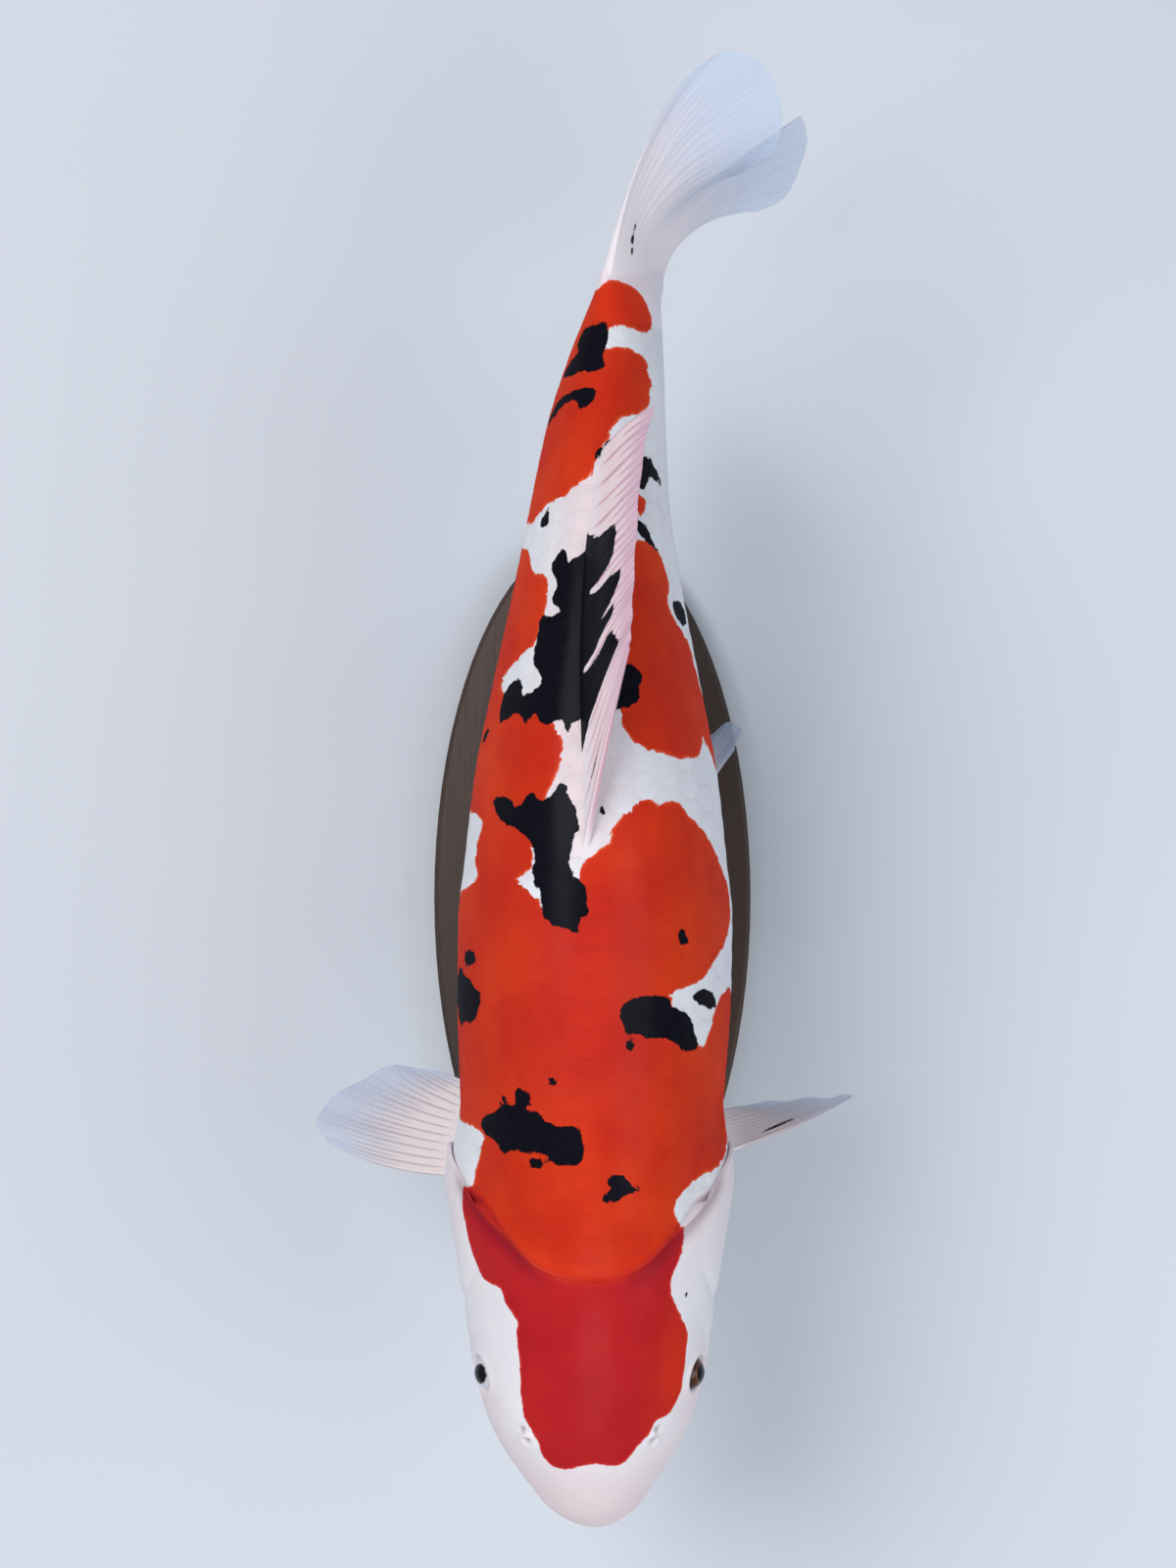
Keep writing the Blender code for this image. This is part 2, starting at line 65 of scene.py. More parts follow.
BOTTOM = ((0, -12), (4, -22), (10, -27), (18, -31.5), (37, -40), (69, -50), (107, -59), (164, -68),
          (206, -72.5), (250, -74), (290, -73), (330, -69), (370, -62.5), (410, -53.5), (450, -43),
          (480, -35), (505, -30), (524, -28), (536, -28.5))
WIDEST = ((0, -12), (20, -8), (69, 2), (107, -4), (200, -8), (400, -5), (536, 0))
UPPER_FULLNESS = ((0, 2.0), (69, 2.05), (164, 2.15), (300, 2.1), (536, 2.0))
LOWER_FULLNESS = ((0, 2.0), (69, 2.2), (200, 2.3), (400, 2.1), (536, 2.0))
ROLL = ((0, 0), (160, 0), (230, 2), (290, 3), (400, 4), (460, 5), (495, 10), (520, 17), (536, 26))
NAPE_EDGE = ((0, 117), (6, 117.3), (20, 121), (38, 134), (54, 148), (72, 160), (92, 165.5), (122, 153),
             (152, 126), (180, 108))
GILL_COVER_FRONT = ((54, 119), (75, 104), (95, 100), (115, 104), (132, 112))
GILL_FLARE = (96, 164, 7.0)
SHOULDER_STEP = 1.2
GILL_SWELL = 4.2                # behind the gill covers the body swells by this much, at first
EYE_ALONG, EYE_ROUND = 72.5, 66.0
NOSTRIL_ALONG, NOSTRIL_ROUND = 47.5, 39.0
JAW_LENGTH, MOUTH_FRONT_Z, MOUTH_CORNER_Z = 30.0, -18.0, -26.0

SKIN_COLUMNS, HEAD_ROWS, TRUNK_ROWS = 288, 150, 146
SNOUT_FIRST = 0.5               # the first ring behind the tip
HEAD_DEPTH, SCALE_BED = -0.05, -0.70     # the skin under the solids' surface, bare and scaled
FLAP_POCKET = 6.0               # the gill opening's depth under the flap
BEHIND_NAPE = 0.7               # the trunk's first ring behind the nape's edge
CUFF, CUFF_TWIST, CUFF_RINGS = (5.3, 17.0, 0.0), 0.095, 9    # it thins out over the tail fin's root
FLAP_HUG = 1.8                  # the flap's soft rim bends in towards the body by this much


def smooth_table(table, rooted=False):
    """A smooth reading of (place, value) points, over the place's square root when rooted."""
    place, value = np.array(table, float).T
    place = np.sqrt(place) if rooted else place
    step = np.diff(place)
    rise = np.diff(value) / step
    both, total = rise[:-1] * rise[1:], rise[:-1] + rise[1:]
    inner = np.where(both > 0, 2 * both / np.where(both > 0, total, 1), 0)
    slope = np.concatenate(([rise[0]], inner, [rise[-1]]))

    def read(at):
        at = np.sqrt(np.maximum(at, 0)) if rooted else np.asarray(at, float)
        at = np.clip(at, place[0], place[-1])
        i = np.clip(np.searchsorted(place, at, side="right") - 1, 0, len(step) - 1)
        t = (at - place[i]) / step[i]
        ends = value[i] * (1 + 2 * t) * (1 - t) ** 2 + value[i + 1] * t * t * (3 - 2 * t)
        return ends + (slope[i] * t * (1 - t) ** 2 - slope[i + 1] * t * t * (1 - t)) * step[i]
    return read


centre_x, half_width = smooth_table(CENTRE_X, True), smooth_table(HALF_WIDTH, True)
top, bottom, widest = (smooth_table(t, True) for t in (TOP, BOTTOM, WIDEST))
upper_fullness, lower_fullness = smooth_table(UPPER_FULLNESS), smooth_table(LOWER_FULLNESS)
roll, nape_edge = smooth_table(ROLL), smooth_table(NAPE_EDGE)
gill_front = smooth_table(GILL_COVER_FRONT)


def ease(low, high, at):
    """0 below low, 1 above high, smooth between."""
    t = np.clip((at - low) / (high - low), 0, 1)
    return t * t * (3 - 2 * t)


def hump(distance, reach):
    """1 in the middle, fading to 0 beyond the reach."""
    return np.exp(-(distance / reach) ** 2)


def signed_power(value, power):
    return np.sign(value) * np.abs(value) ** power


def cells(rows, columns):
    """Row and column numbers of every cell of a grid."""
    return (a.ravel() for a in np.meshgrid(np.arange(rows), np.arange(columns), indexing="ij"))


def ring_faces(rings, spokes):
    """Faces of closed rings of points one after the other, with a fan to a tip at each end."""
    row, k = cells(rings - 1, spokes)
    a, b = row * spokes + k, row * spokes + (k + 1) % spokes
    quads = np.stack([a, b, b + spokes, a + spokes], axis=1)
    k, last, tip = np.arange(spokes), (rings - 1) * spokes, np.full(spokes, rings * spokes)
    after = (k + 1) % spokes
    front, back = np.stack([after, k, tip], axis=1), np.stack([last + k, last + after, tip + 1], axis=1)
    return quads.tolist() + front.tolist() + back.tolist()


def gill_zone(turn):
    """1 round the sides where the gill covers end in a free flap, 0 over nape and throat."""
    return ease(50, 62, np.abs(turn)) * (1 - ease(128, 142, np.abs(turn)))


def body_point(along, turn, out=0.0, head=False):
    """Points of the body's surface, as the solids have it, moved out by some millimetres."""
    angle = np.radians(turn)
    side, up = np.sin(angle), np.cos(angle)
    half, middle = half_width(along), widest(along)
    height = np.where(up >= 0, top(along) - middle, middle - bottom(along))
    fullness = np.where(up >= 0, upper_fullness(along), lower_fullness(along))
    if head:
        start, end, flare = GILL_FLARE
        both = np.abs(turn)
        no_flap = np.maximum(1 - ease(34, 49, both), ease(142, 154, both))
        level_off = ease(-16, 0, along - nape_edge(both)) * no_flap
        half = half + flare * ease(start, end, along) * (1 - level_off)
    else:
        behind = along - nape_edge(np.abs(turn))
        step = (1 - ease(150, 230, along)) * ease(-2, 24, behind)
        height = height + SHOULDER_STEP * (up > 0) * step
        out = out + GILL_SWELL * gill_zone(turn) * (1 - ease(-3, 20, behind))
    power = 2 / fullness
    nx = signed_power(side, 2 - power) / np.maximum(half, 1)
    nz = signed_power(up, 2 - power) / np.maximum(height, 1)
    size = np.hypot(nx, nz)
    x = half * signed_power(side, power) + out * nx / size
    z = height * signed_power(up, power) + middle + out * nz / size
    lean = np.radians(roll(along))
    where = (centre_x(along) + x * np.cos(lean) - z * np.sin(lean),
             SNOUT_Y + along + 0 * x, AXIS_Z + x * np.sin(lean) + z * np.cos(lean))
    return np.stack(np.broadcast_arrays(*where), axis=-1) * MM


def ring_normals(grid):
    """Outward normals of a grid of closed rings."""
    down = np.gradient(grid, axis=0)
    across = np.roll(grid, -1, axis=1) - np.roll(grid, 1, axis=1)
    normal = np.cross(down, across)
    normal /= np.maximum(np.linalg.norm(normal, axis=-1, keepdims=True), 1e-12)
    outward = grid - grid.mean(axis=1, keepdims=True)
    return normal * np.sign((normal * outward).sum(axis=(0, 1, 2)))


def spot_distance(along, turn, at_along, at_turn, stretch=1.0):
    """Millimetres over the skin from a spot, the same on both sides of the fish."""
    arc = np.radians(np.abs(turn) - at_turn) * half_width(at_along)
    return np.hypot(along - at_along, arc * stretch)


def mouth_gap(along, level):
    """Millimetres above the line of the mouth."""
    return level - MOUTH_FRONT_Z - (MOUTH_CORNER_Z - MOUTH_FRONT_Z) * along / JAW_LENGTH


def head_relief(along, turn, level):
    """Millimetres that the head's folds stand out: lips, nostrils, eye rims and gill covers."""
    both = np.abs(turn)
    gap = mouth_gap(along, level)                     # lips, and the folds above and under them
    lips = 1 - ease(24, 34, along)
    lift = lips * (1.3 * hump(np.abs(gap) - 3.2, 2.0) - 2.2 * hump(gap, 0.9))
    lift -= 0.9 * (1 - ease(16, 30, along)) * hump(gap - 7.6, 1.3)
    lift -= 0.6 * (1 - ease(14, 26, along)) * hump(gap + 8.0, 1.6)
    lift -= 0.7 * hump(spot_distance(along, turn, 33, 108, 0.4), 3.0)

    eye = spot_distance(along, turn, EYE_ALONG, EYE_ROUND)      # socket, rim, brow and cheek
    lift += 0.9 * hump(eye - 9.2, 1.5) - 3.0 * (1 - ease(6.2, 7.8, eye))
    lift += 0.7 * hump(spot_distance(along, turn, 71, 51, 2.0), 15)
    lift -= 0.35 * hump(eye - 13.2, 1.6) * ease(58, 80, both)

    pit = spot_distance(along, turn, NOSTRIL_ALONG - 1.8, NOSTRIL_ROUND)    # a nostril's two holes
    rear_pit = spot_distance(along, turn, NOSTRIL_ALONG + 3.0, NOSTRIL_ROUND + 1)
    flap = spot_distance(along, turn, NOSTRIL_ALONG + 0.6, NOSTRIL_ROUND, 0.45)
    lift += 1.3 * hump(flap, 1.25) - 1.7 * hump(pit, 1.5) - 1.4 * hump(rear_pit, 1.5)
    lift += 0.4 * hump(pit - 3.4, 1.1)

    cover = ease(50, 62, both) * (1 - ease(124, 138, both))    # the gill cover's plates and grooves
    behind = along - gill_front(both)
    lift += cover * (0.8 * ease(0, 9, behind) - 0.7 * hump(behind, 1.5))
    lift -= 0.35 * cover * hump(behind + 15 + 5 * np.sin(np.radians(both * 2)), 1.6)
    lift -= 0.5 * hump(both - 116 - 0.12 * (along - 120), 1.3) * ease(2, 14, behind) * cover
    lift += 0.10 * cover * ease(3, 16, behind) * np.sin(both * 1.25 + 0.05 * along)

    lift += 0.5 * hump(both, 10) * ease(40, 90, along)         # the crown, and the dip before the scales
    dip = ease(-12, -0.5, along - nape_edge(both)) * (1 - ease(50, 60, both))
    lift -= (0.4 + 0.3 * ease(12, 30, both)) * dip
    lift -= FLAP_HUG * gill_zone(turn) * ease(-16, -0.5, along - nape_edge(both))
    return lift - 0.6 * hump(both - 21, 5) * ease(88, 112, along)


def skin_rows():
    """The skin's rings from the snout back: places along, degrees round, points, head share."""
    turns = np.linspace(-180, 180, SKIN_COLUMNS, endpoint=False)
    edge = nape_edge(np.abs(turns))
    flap = gill_zone(turns)
    share = (np.arange(HEAD_ROWS) / (HEAD_ROWS - 1))[:, None] ** 1.4
    along = SNOUT_FIRST * (1 - share) + edge * share
    grid = body_point(along, turns, HEAD_DEPTH, head=True)
    level = grid[..., 2] / MM - AXIS_Z
    grid = grid + ring_normals(grid) * (head_relief(along, turns + 0 * along, level) * MM)[..., None]

    # The flap's rim, turned in: steps along (backward ones as shares of the pocket) and depths.
    fold = [(0.4, 0.22), (0.6, 0.6), (0.45, 1.0), (-0.1, 1.3), (-0.45, 1.8), (-0.75, 2.6)]
    fold_along = [edge + step * (FLAP_POCKET if step < 0 else 1) * flap + 0.1 * (i + 1) * (1 - flap)
                  for i, (step, _) in enumerate(fold)]
    level_depth = 0.5 + 0.12 * ease(12, 30, np.abs(turns))
    fold_grid = [body_point(place, turns, -(FLAP_HUG + depth) * flap - level_depth * (1 - flap),
                            head=True)
                 for place, (_, depth) in zip(fold_along, fold)]

    start = edge + BEHIND_NAPE - (FLAP_POCKET + BEHIND_NAPE) * flap
    share = (np.arange(TRUNK_ROWS) / (TRUNK_ROWS - 1))[:, None] ** 1.12
    trunk_along = start * (1 - share) + BODY_END * share
    sunk = 0.1 * (1 - flap) * np.exp(-np.maximum(trunk_along - start, 0) / 2.0)
    trunk = body_point(trunk_along, turns, SCALE_BED - sunk)
    lean = math.radians(float(roll(BODY_END)))
    upright = np.array((-math.sin(lean), 0, math.cos(lean)))
    middle = trunk[-1].mean(axis=0)
    height = ((trunk[-1] - middle) @ upright)[:, None] * upright
    shift = np.array(CUFF) * MM + height[:, 2:] * (CUFF_TWIST, 0, 0)
    cuff_share = np.arange(1, CUFF_RINGS + 1) / CUFF_RINGS
    caps = [middle + height * (1 - 0.05 * c) + shift * c
            + (trunk[-1] - middle - height) * max(1 - c, 0.03) ** 1.3 for c in cuff_share]
    cap_along = [np.full(SKIN_COLUMNS, BODY_END + 10 * c) for c in cuff_share]
    places = np.vstack([along, fold_along, trunk_along, cap_along])
    points = np.concatenate([grid, fold_grid, trunk, caps])
    on_head = np.zeros(places.shape)
    on_head[:HEAD_ROWS + len(fold)] = 1
    return places, np.broadcast_to(turns, places.shape), points, on_head


# The markings: red and black patches that run on over skin and scales, crisp at the edge. Each
# is an outline of (centimetres from the snout, degrees round), read as a smooth closed curve.
RED_PATCHES = {
    "head": ((15.2, -60), (13.6, -59), (12.4, -57), (11.5, -52), (11.2, -41), (10.6, -38.5), (9.9, -33),
        (9.2, -34), (7.8, -34), (6.5, -36), (5.7, -36.5), (4.65, -31), (4.0, -30.5), (3.55, -27),
        (3.35, -20), (3.45, -10), (3.65, 0), (3.55, 12), (3.65, 22), (4.6, 31), (5.1, 36), (5.5, 38),
        (5.65, 45), (6.1, 49), (6.8, 51), (8.6, 50.5), (9.3, 49.5), (10.5, 40), (11.1, 36.5), (11.7, 36),
        (12.4, 39.5), (13.2, 42), (13.8, 42), (14.4, 38), (15.4, 36), (16.5, 0), (15.8, -40)),
    "body": ((17.4, -50.5), (17.6, -55), (17.8, -66), (17.7, -80), (18.3, -93), (19.3, -103), (20.5, -99),
        (21.7, -107), (23.3, -112), (24.7, -106), (25.5, -97), (26.7, -95), (27.2, -85), (27.85, -62),
        (28.05, -55.5), (28.4, -55), (28.85, -58.5), (29.3, -58.5), (29.8, -56.5), (30.2, -54),
        (30.55, -54), (30.7, -58), (30.9, -80), (31.6, -93), (32.7, -97), (33.7, -108), (35.2, -113),
        (36.6, -104), (37.6, -97), (38.9, -102), (40.2, -109), (41.3, -102), (41.5, -92), (42.1, -82),
        (42, -70), (41.8, -56), (41.5, -50.5), (40.75, -41), (40.7, -34), (40.35, -27.5), (39.4, -26.5),
        (37.85, -31.5), (37.5, -36), (37.2, -42.5), (36.6, -52), (36.2, -58), (35.9, -56), (35.6, -45),
        (35.2, -30), (34.7, -19), (34.2, -12), (33.4, -9.4), (32.6, -12), (31.3, -17), (30.3, -24),
        (29.9, -24.5), (29.6, -22.3), (29.1, -21.2), (28.7, -22.5), (28.4, -25.5), (28.15, -30),
        (27.8, -23), (27.5, -19.8), (27.1, -17.8), (26.6, -12), (27, -5), (27.7, -2), (28.4, -1.6),
        (28.85, 0), (29.6, 6.5), (29.68, 10), (30, 10.5), (30.85, 16.5), (31, 19.5), (31.3, 22.5),
        (31.42, 26.5), (31.3, 30), (31, 32), (31.25, 35), (31.38, 39), (31.25, 44.5), (30.65, 51),
        (30.45, 55), (29.35, 66), (28.2, 77.5), (27.4, 81.5), (26.7, 82), (25.5, 74), (24.75, 62.5),
        (24, 52), (23.6, 40), (23.4, 33), (22.2, 38), (21.5, 46), (21.1, 51.5), (21.7, 56), (22.95, 64),
        (23.3, 69), (23.4, 80), (23.1, 90), (23.6, 99), (22.7, 108), (21.2, 111), (19.9, 103),
        (18.6, 105), (17.4, 95), (16.2, 70), (15.9, 57), (15.4, 45), (14.7, 37), (12.6, 20), (11.2, 0),
        (12.6, -20), (14.6, -45), (15.1, -54), (15.7, -57.5), (16.75, -55), (17.15, -53)),
    "right_rear": ((42, 35), (42.1, 39.5), (41.9, 51), (41.5, 58), (40.4, 62.5), (39.7, 57.6), (39.1, 61),
        (38.3, 73), (37.7, 79), (37, 82.5), (36.3, 85), (35.4, 95), (34.4, 104), (33.3, 103), (32.7, 95),
        (32.6, 87), (33.6, 75), (34.1, 71.5), (33.4, 64.5), (33.15, 59), (33.05, 52), (33.15, 48.5),
        (33.05, 46), (33.35, 38), (33.4, 34), (33.35, 30), (33.5, 25.5), (34.35, 18), (34.8, 16.4),
        (35.4, 16), (36.5, 12), (38.5, 10), (40, 12), (41.3, 22), (41.65, 30)),
    "tail": ((43.1, -82), (43, -62), (43.1, -51), (43.7, -36), (43.75, -26), (43.95, -19.5), (44.25, -15),
        (44.75, 0.5), (45.75, 5.5), (46.45, 16.5), (46.7, 14.7), (47.25, 25), (47.5, 42), (48.05, 57.5),
        (49.2, 60.8), (50, 52), (50.3, 29), (50.2, 9), (50.6, -2), (51.05, 9), (51.2, 35), (51.05, 60),
        (51.2, 68), (51.5, 72.5), (52, 74), (52.95, 64), (53.25, 25), (52.9, -14), (52.8, -45),
        (52.3, -74), (51.2, -88), (49.9, -92), (48.8, -103), (47, -109), (45.6, -100), (44.5, -96),
        (43.4, -88)),
    "small": ((44.08, 39), (44, 44), (43.75, 47.5), (43.45, 48.5), (43.2, 44), (43.12, 38.5),
        (43.6, 36.5))}
BLACK_PATCHES = {
    "nape": ((15.4, 5), (15.65, 7.5), (15.9, 6.5), (16.2, 8.5), (16.15, 13), (15.9, 14.5), (15.7, 17),
        (15.7, 21), (15.5, 20), (15.4, 15), (15.2, 12), (15.05, 7.5), (15.15, 5)),
    "shoulder": ((18.05, -53), (18.35, -50.5), (18.65, -42), (19.1, -36), (18.9, -34), (18.95, -31),
        (19.55, -31), (19.65, -27), (19.4, -23), (18.8, -27), (18.7, -24.5), (18.8, -20), (18.35, -18),
        (18.3, -14), (18.15, -10), (18.3, -6), (18.1, -3.8), (17.4, -2.6), (16.8, -3), (16.6, -7),
        (16.55, -13.5), (16.9, -16), (17.05, -19), (17.1, -24), (17.05, -27.5), (17.15, -33),
        (16.95, -38.5), (17.35, -43), (17.6, -50), (17.8, -52.5)),
    "shoulder_blob": ((16.84, -19.5), (16.82, -24), (16.62, -25.8), (16.42, -22.5), (16.52, -19)),
    "shoulder_crown": ((19.06, -40.5), (19.28, -39.8), (19.32, -37.2), (19.06, -37)),
    "shoulder_dot": ((20.22, -14.4), (20.02, -12), (19.76, -14.3), (19.98, -17)),
    "left_flank": ((24.3, -72), (24.1, -66), (23.9, -58), (23.6, -53), (23.3, -48.5), (22.5, -52.5),
        (22.1, -58), (22.2, -64), (21.9, -70), (22.2, -76), (22.7, -79), (22.5, -86), (23.1, -92),
        (23.5, -86), (24.2, -84), (23.9, -78)),
    "left_flank_knob": ((24.2, -68), (24.6, -64), (25.05, -63), (25.2, -58), (25.05, -53.5),
        (24.7, -53.5), (24.55, -57), (24.5, -61.5)),
    "right_flank": ((22.8, 11), (23.35, 16.5), (23.5, 24), (23.45, 31), (23.25, 33.3), (22.95, 34.5),
        (22.8, 38.5), (22.45, 44.5), (22.2, 46), (21.85, 46), (21.3, 49.5), (21.1, 45), (21.15, 40.5),
        (21.5, 36), (21.75, 30.5), (21.8, 22.5), (21.95, 18), (22.05, 12.8), (22.35, 13.6)),
    "right_flank_dot": ((21.7, 15.5), (21.5, 18), (21.25, 15.5), (21.45, 13.3)),
    "right_notch": ((23.3, 45.5), (23.55, 49), (23.6, 54), (23.4, 59), (22.9, 62.5), (22.7, 60),
        (23.05, 48.5)),
    "cheek_dot": ((11, 45.3), (10.93, 47.2), (10.76, 46.8), (10.8, 44.8)),
    "back_dot": ((31.12, 6.2), (31.05, 7.8), (30.85, 7.6), (30.8, 6), (30.95, 5.2)),
    "right_spot": ((26.15, 38.8), (26.05, 41.8), (25.78, 42), (25.6, 43.3), (25.38, 41.2), (25.55, 38.6),
        (25.85, 37.4)),
    "right_small_dot": ((25.08, 39.5), (24.95, 42), (24.75, 41.2), (24.8, 39.2)),
    "back": ((26.05, -4), (26.1, -2), (26.4, -2.2), (26.75, -1.3), (26.85, 1.2), (27.2, 0.4), (27.8, 0),
        (28.15, -1.7), (28.5, -5), (29, -6), (29.4, -5), (30, -4.3), (30.15, -1.8), (30.5, -2.8),
        (31, -3), (31.35, -4.5), (31.65, -7), (32, -6.5), (32.1, -10), (31.7, -13.2), (31.4, -17),
        (31.45, -20.5), (31.7, -23.5), (31.45, -27.5), (31.1, -31), (31.6, -39), (31.5, -46),
        (31.25, -47.5), (30.9, -43.5), (30.45, -38.5), (30.27, -31), (29.9, -24.5), (29.5, -21.5),
        (28.95, -20.2), (28.6, -22), (28.3, -21), (28.05, -21.5), (27.85, -18.5), (27.3, -16.7),
        (26.95, -18), (26.8, -16.2), (26.35, -19.7), (26.3, -17.5), (26.6, -15.3), (26.35, -12),
        (26.3, -8.5)),
    "dorsal": ((34.1, -8), (34.5, -5), (35.1, 2), (36.2, 6), (38, 10), (40, 9), (41.6, 6), (41.7, 0),
        (41.4, -5.5), (41.3, -10.5), (41.05, -12.6), (41.5, -14.8), (41.75, -18), (41.05, -25),
        (40.85, -25.3), (40.5, -21), (40.2, -19.6), (39.8, -22), (39.5, -21.5), (39.15, -15.5),
        (38.85, -23), (39, -27), (38.75, -30), (38.3, -29.5), (37.6, -30), (37, -31), (36.75, -27.5),
        (36.45, -24.5), (36.15, -23.8), (35.9, -26.5), (35.55, -37.3), (35.9, -35.3), (36.2, -36.5),
        (36.35, -41.5), (35.7, -51.5), (34.55, -50.5), (35, -38.5), (34.8, -33.5), (34.42, -30),
        (34.75, -27.5), (34.95, -24.5), (34.38, -20.5), (34.65, -11)),
    "dorsal_right": ((35.05, 11), (35.15, 17), (35.2, 22), (35.45, 27), (35.75, 28.5), (36.05, 28.3),
        (36.5, 30.5), (37, 22), (36.9, 12), (36, 7)),
    "left_rear_dot": ((34.35, -60), (33.75, -67), (34, -70), (34.35, -66)),
    "saddle": ((42.72, -41), (43, -42), (43.35, -38.7), (43.7, -37.5), (43.65, -35.3), (42.85, -34.2)),
    "right_rear": ((42.95, 37), (42.9, 41), (42.97, 44.5), (42.7, 47.3), (42.2, 50), (41.7, 57),
        (42.15, 44), (42.75, 35.5)),
    "right_edge": ((39.75, 65), (39.75, 77), (39.3, 84), (38.85, 81), (38.75, 72), (39, 65.5),
        (39.35, 62.5)),
    "right_tail": ((45.75, 47), (45.6, 57), (45.3, 60), (45, 67), (44.7, 69), (44.65, 65), (44.88, 58),
        (44.85, 51), (44.4, 49.5), (44.28, 43), (44.55, 40), (44.95, 42.3), (45.3, 40)),
    "tail_hook": ((48.45, 1), (48.5, -14), (48.3, -42), (47.95, -54), (47.4, -66), (47.2, -62),
        (47.4, -54), (48.02, -30), (48.02, -21), (47.5, -13.5), (47.7, -9), (47.95, -2)),
    "tail_streak": ((45.35, 3), (45.7, 2.7), (46.05, 8), (46.3, 18), (46.22, 24), (45.95, 16.5),
        (45.4, 7.5)),
    "tail_stem": ((51.35, 1), (51.3, 8.5), (50.4, 8.5), (49.9, 3), (49.55, 9), (49.3, 4), (49.22, -6),
        (49.25, -22), (49.15, -45), (49.3, -56), (49.8, -45), (50.15, -31), (50.5, -38), (51.05, -34),
        (51.25, -20))}
EDGE_REACH = 5.0                # depths in a patch are told this far from its edge, in millimetres
CURVE_STEPS = 4                 # between an outline's points


def closed_curve(points):
    """A smooth closed curve through the points."""
    here = np.array(points, float)
    before, after, beyond = (np.roll(here, shift, axis=0) for shift in (1, -1, -2))
    t = (np.arange(CURVE_STEPS) / CURVE_STEPS)[None, :, None]
    before, here, after, beyond = (p[:, None, :] for p in (before, here, after, beyond))
    curve = 2 * here + (after - before) * t + (2 * before - 5 * here + 4 * after - beyond) * t ** 2
    curve = 0.5 * (curve + (3 * here - before - 3 * after + beyond) * t ** 3)
    return curve.reshape(-1, 2)


def depth_inside(outlines, spots):
    """Millimetres inside the nearest of some closed outlines, below 0 outside them."""
    depth = np.full(len(spots), -EDGE_REACH)
    for line in outlines:
        near = np.all((spots > line.min(axis=0) - EDGE_REACH)
                      & (spots < line.max(axis=0) + EDGE_REACH), axis=1)
        start, side = line, np.roll(line, -1, axis=0) - line
        length = np.maximum((side ** 2).sum(axis=1), 1e-9)
        for part in np.array_split(np.flatnonzero(near), near.sum() // 4000 + 1):
            away = spots[part, None, :] - start
            t = np.clip((away * side).sum(axis=2) / length, 0, 1)
            gap = np.sqrt(((away - t[..., None] * side) ** 2).sum(axis=2).min(axis=1))
            level = away[..., 1]
            crosses = (level < 0) != (level - side[:, 1] < 0)
            reach = away[..., 0] * side[:, 1] - level * side[:, 0]
            left = crosses & ((reach < 0) == (side[:, 1] > 0))
            inside = left.sum(axis=1) % 2 == 1
            depth[part] = np.maximum(depth[part], np.where(inside, gap, -gap))
    return np.clip(depth, -EDGE_REACH, EDGE_REACH)


def mean_radius(along):
    return (half_width(along) + (top(along) - bottom(along)) / 2) / 2


def flat_chart(along, turn):
    """Places on the skin as millimetres along and millimetres round."""
    return np.stack([along, np.radians(turn) * mean_radius(along)], axis=-1)


def patch_depth(patches, along, turn):
    """Depths in the markings at places on the body."""
    curves = [closed_curve(patch) for patch in patches.values()]
    outlines = [flat_chart(curve[:, 0] * 10, curve[:, 1]) for curve in curves]
    return depth_inside(outlines, flat_chart(along.ravel(), turn.ravel())).reshape(along.shape)


def unwrap(along, turn, on_head):
    """The skin's flat map: round across it, along up it, with more room for the bare head."""
    head_share = along / nape_edge(np.abs(turn))
    on_trunk = 0.5 + 0.49 * (along - 100) / 440
    up = np.where(on_head > 0.5, 0.46 * np.minimum(head_share, 1.05), on_trunk)
    return np.stack([(turn + 180) / 360, np.clip(up, 0, 1)], axis=-1)


def new_piece(name, points, faces, values=None, uv=None, sharp=40):
    """A smooth mesh piece from arrays: values hold one number a point, uv one place a corner."""
    mesh = bpy.data.meshes.new(name)
    mesh.from_pydata(np.asarray(points).reshape(-1, 3).tolist(), [], faces)
    for key, numbers in (values or {}).items():
        layer = mesh.attributes.new(key, "FLOAT", "POINT")
        layer.data.foreach_set("value", np.asarray(numbers, np.float32).ravel())
    if uv is not None:
        layer = mesh.uv_layers.new(name="OFBake")
        layer.data.foreach_set("uv", np.asarray(uv, np.float32).ravel())
    mesh.shade_smooth()
    mesh.set_sharp_from_angle(angle=math.radians(sharp))
    piece = bpy.data.objects.new(name, mesh)
    bpy.context.scene.collection.objects.link(piece)
    return piece


def blush_amount(along, turn, on_head):
    """Where blood shows through the white: lips, cheeks, gill covers, and the roots of fins."""
    both = np.abs(turn)
    blush = 0.75 * (1 - ease(12, 55, along)) + 0.35 * on_head * ease(95, 150, along)
    blush += 0.5 * hump(spot_distance(along, turn, 60, 75), 22) * on_head
    blush += 0.8 * ease(278, 300, along) * (1 - ease(440, 468, along)) * hump(turn + 6, 22)
    blush += 0.5 * ease(512, 536, along)
    return np.clip(blush + 0.35 * hump(both - 128, 14) * hump((along - 150) / 22, 1), 0, 1)


def head_share(along, turn):
    """The red's tone: 1 on the head, less at the left temple, 0 on the back but for the spine."""
    temple = 0.75 * hump(turn - 46, 14) * hump(along - 80, 28)
    behind = ease(-4, 5, along - nape_edge(np.abs(turn)))
    spine = 0.45 * hump(turn + 4, 30) * ease(165, 205, along) * (1 - ease(262, 305, along))
    return (1 - temple) * (1 - behind) + spine * behind


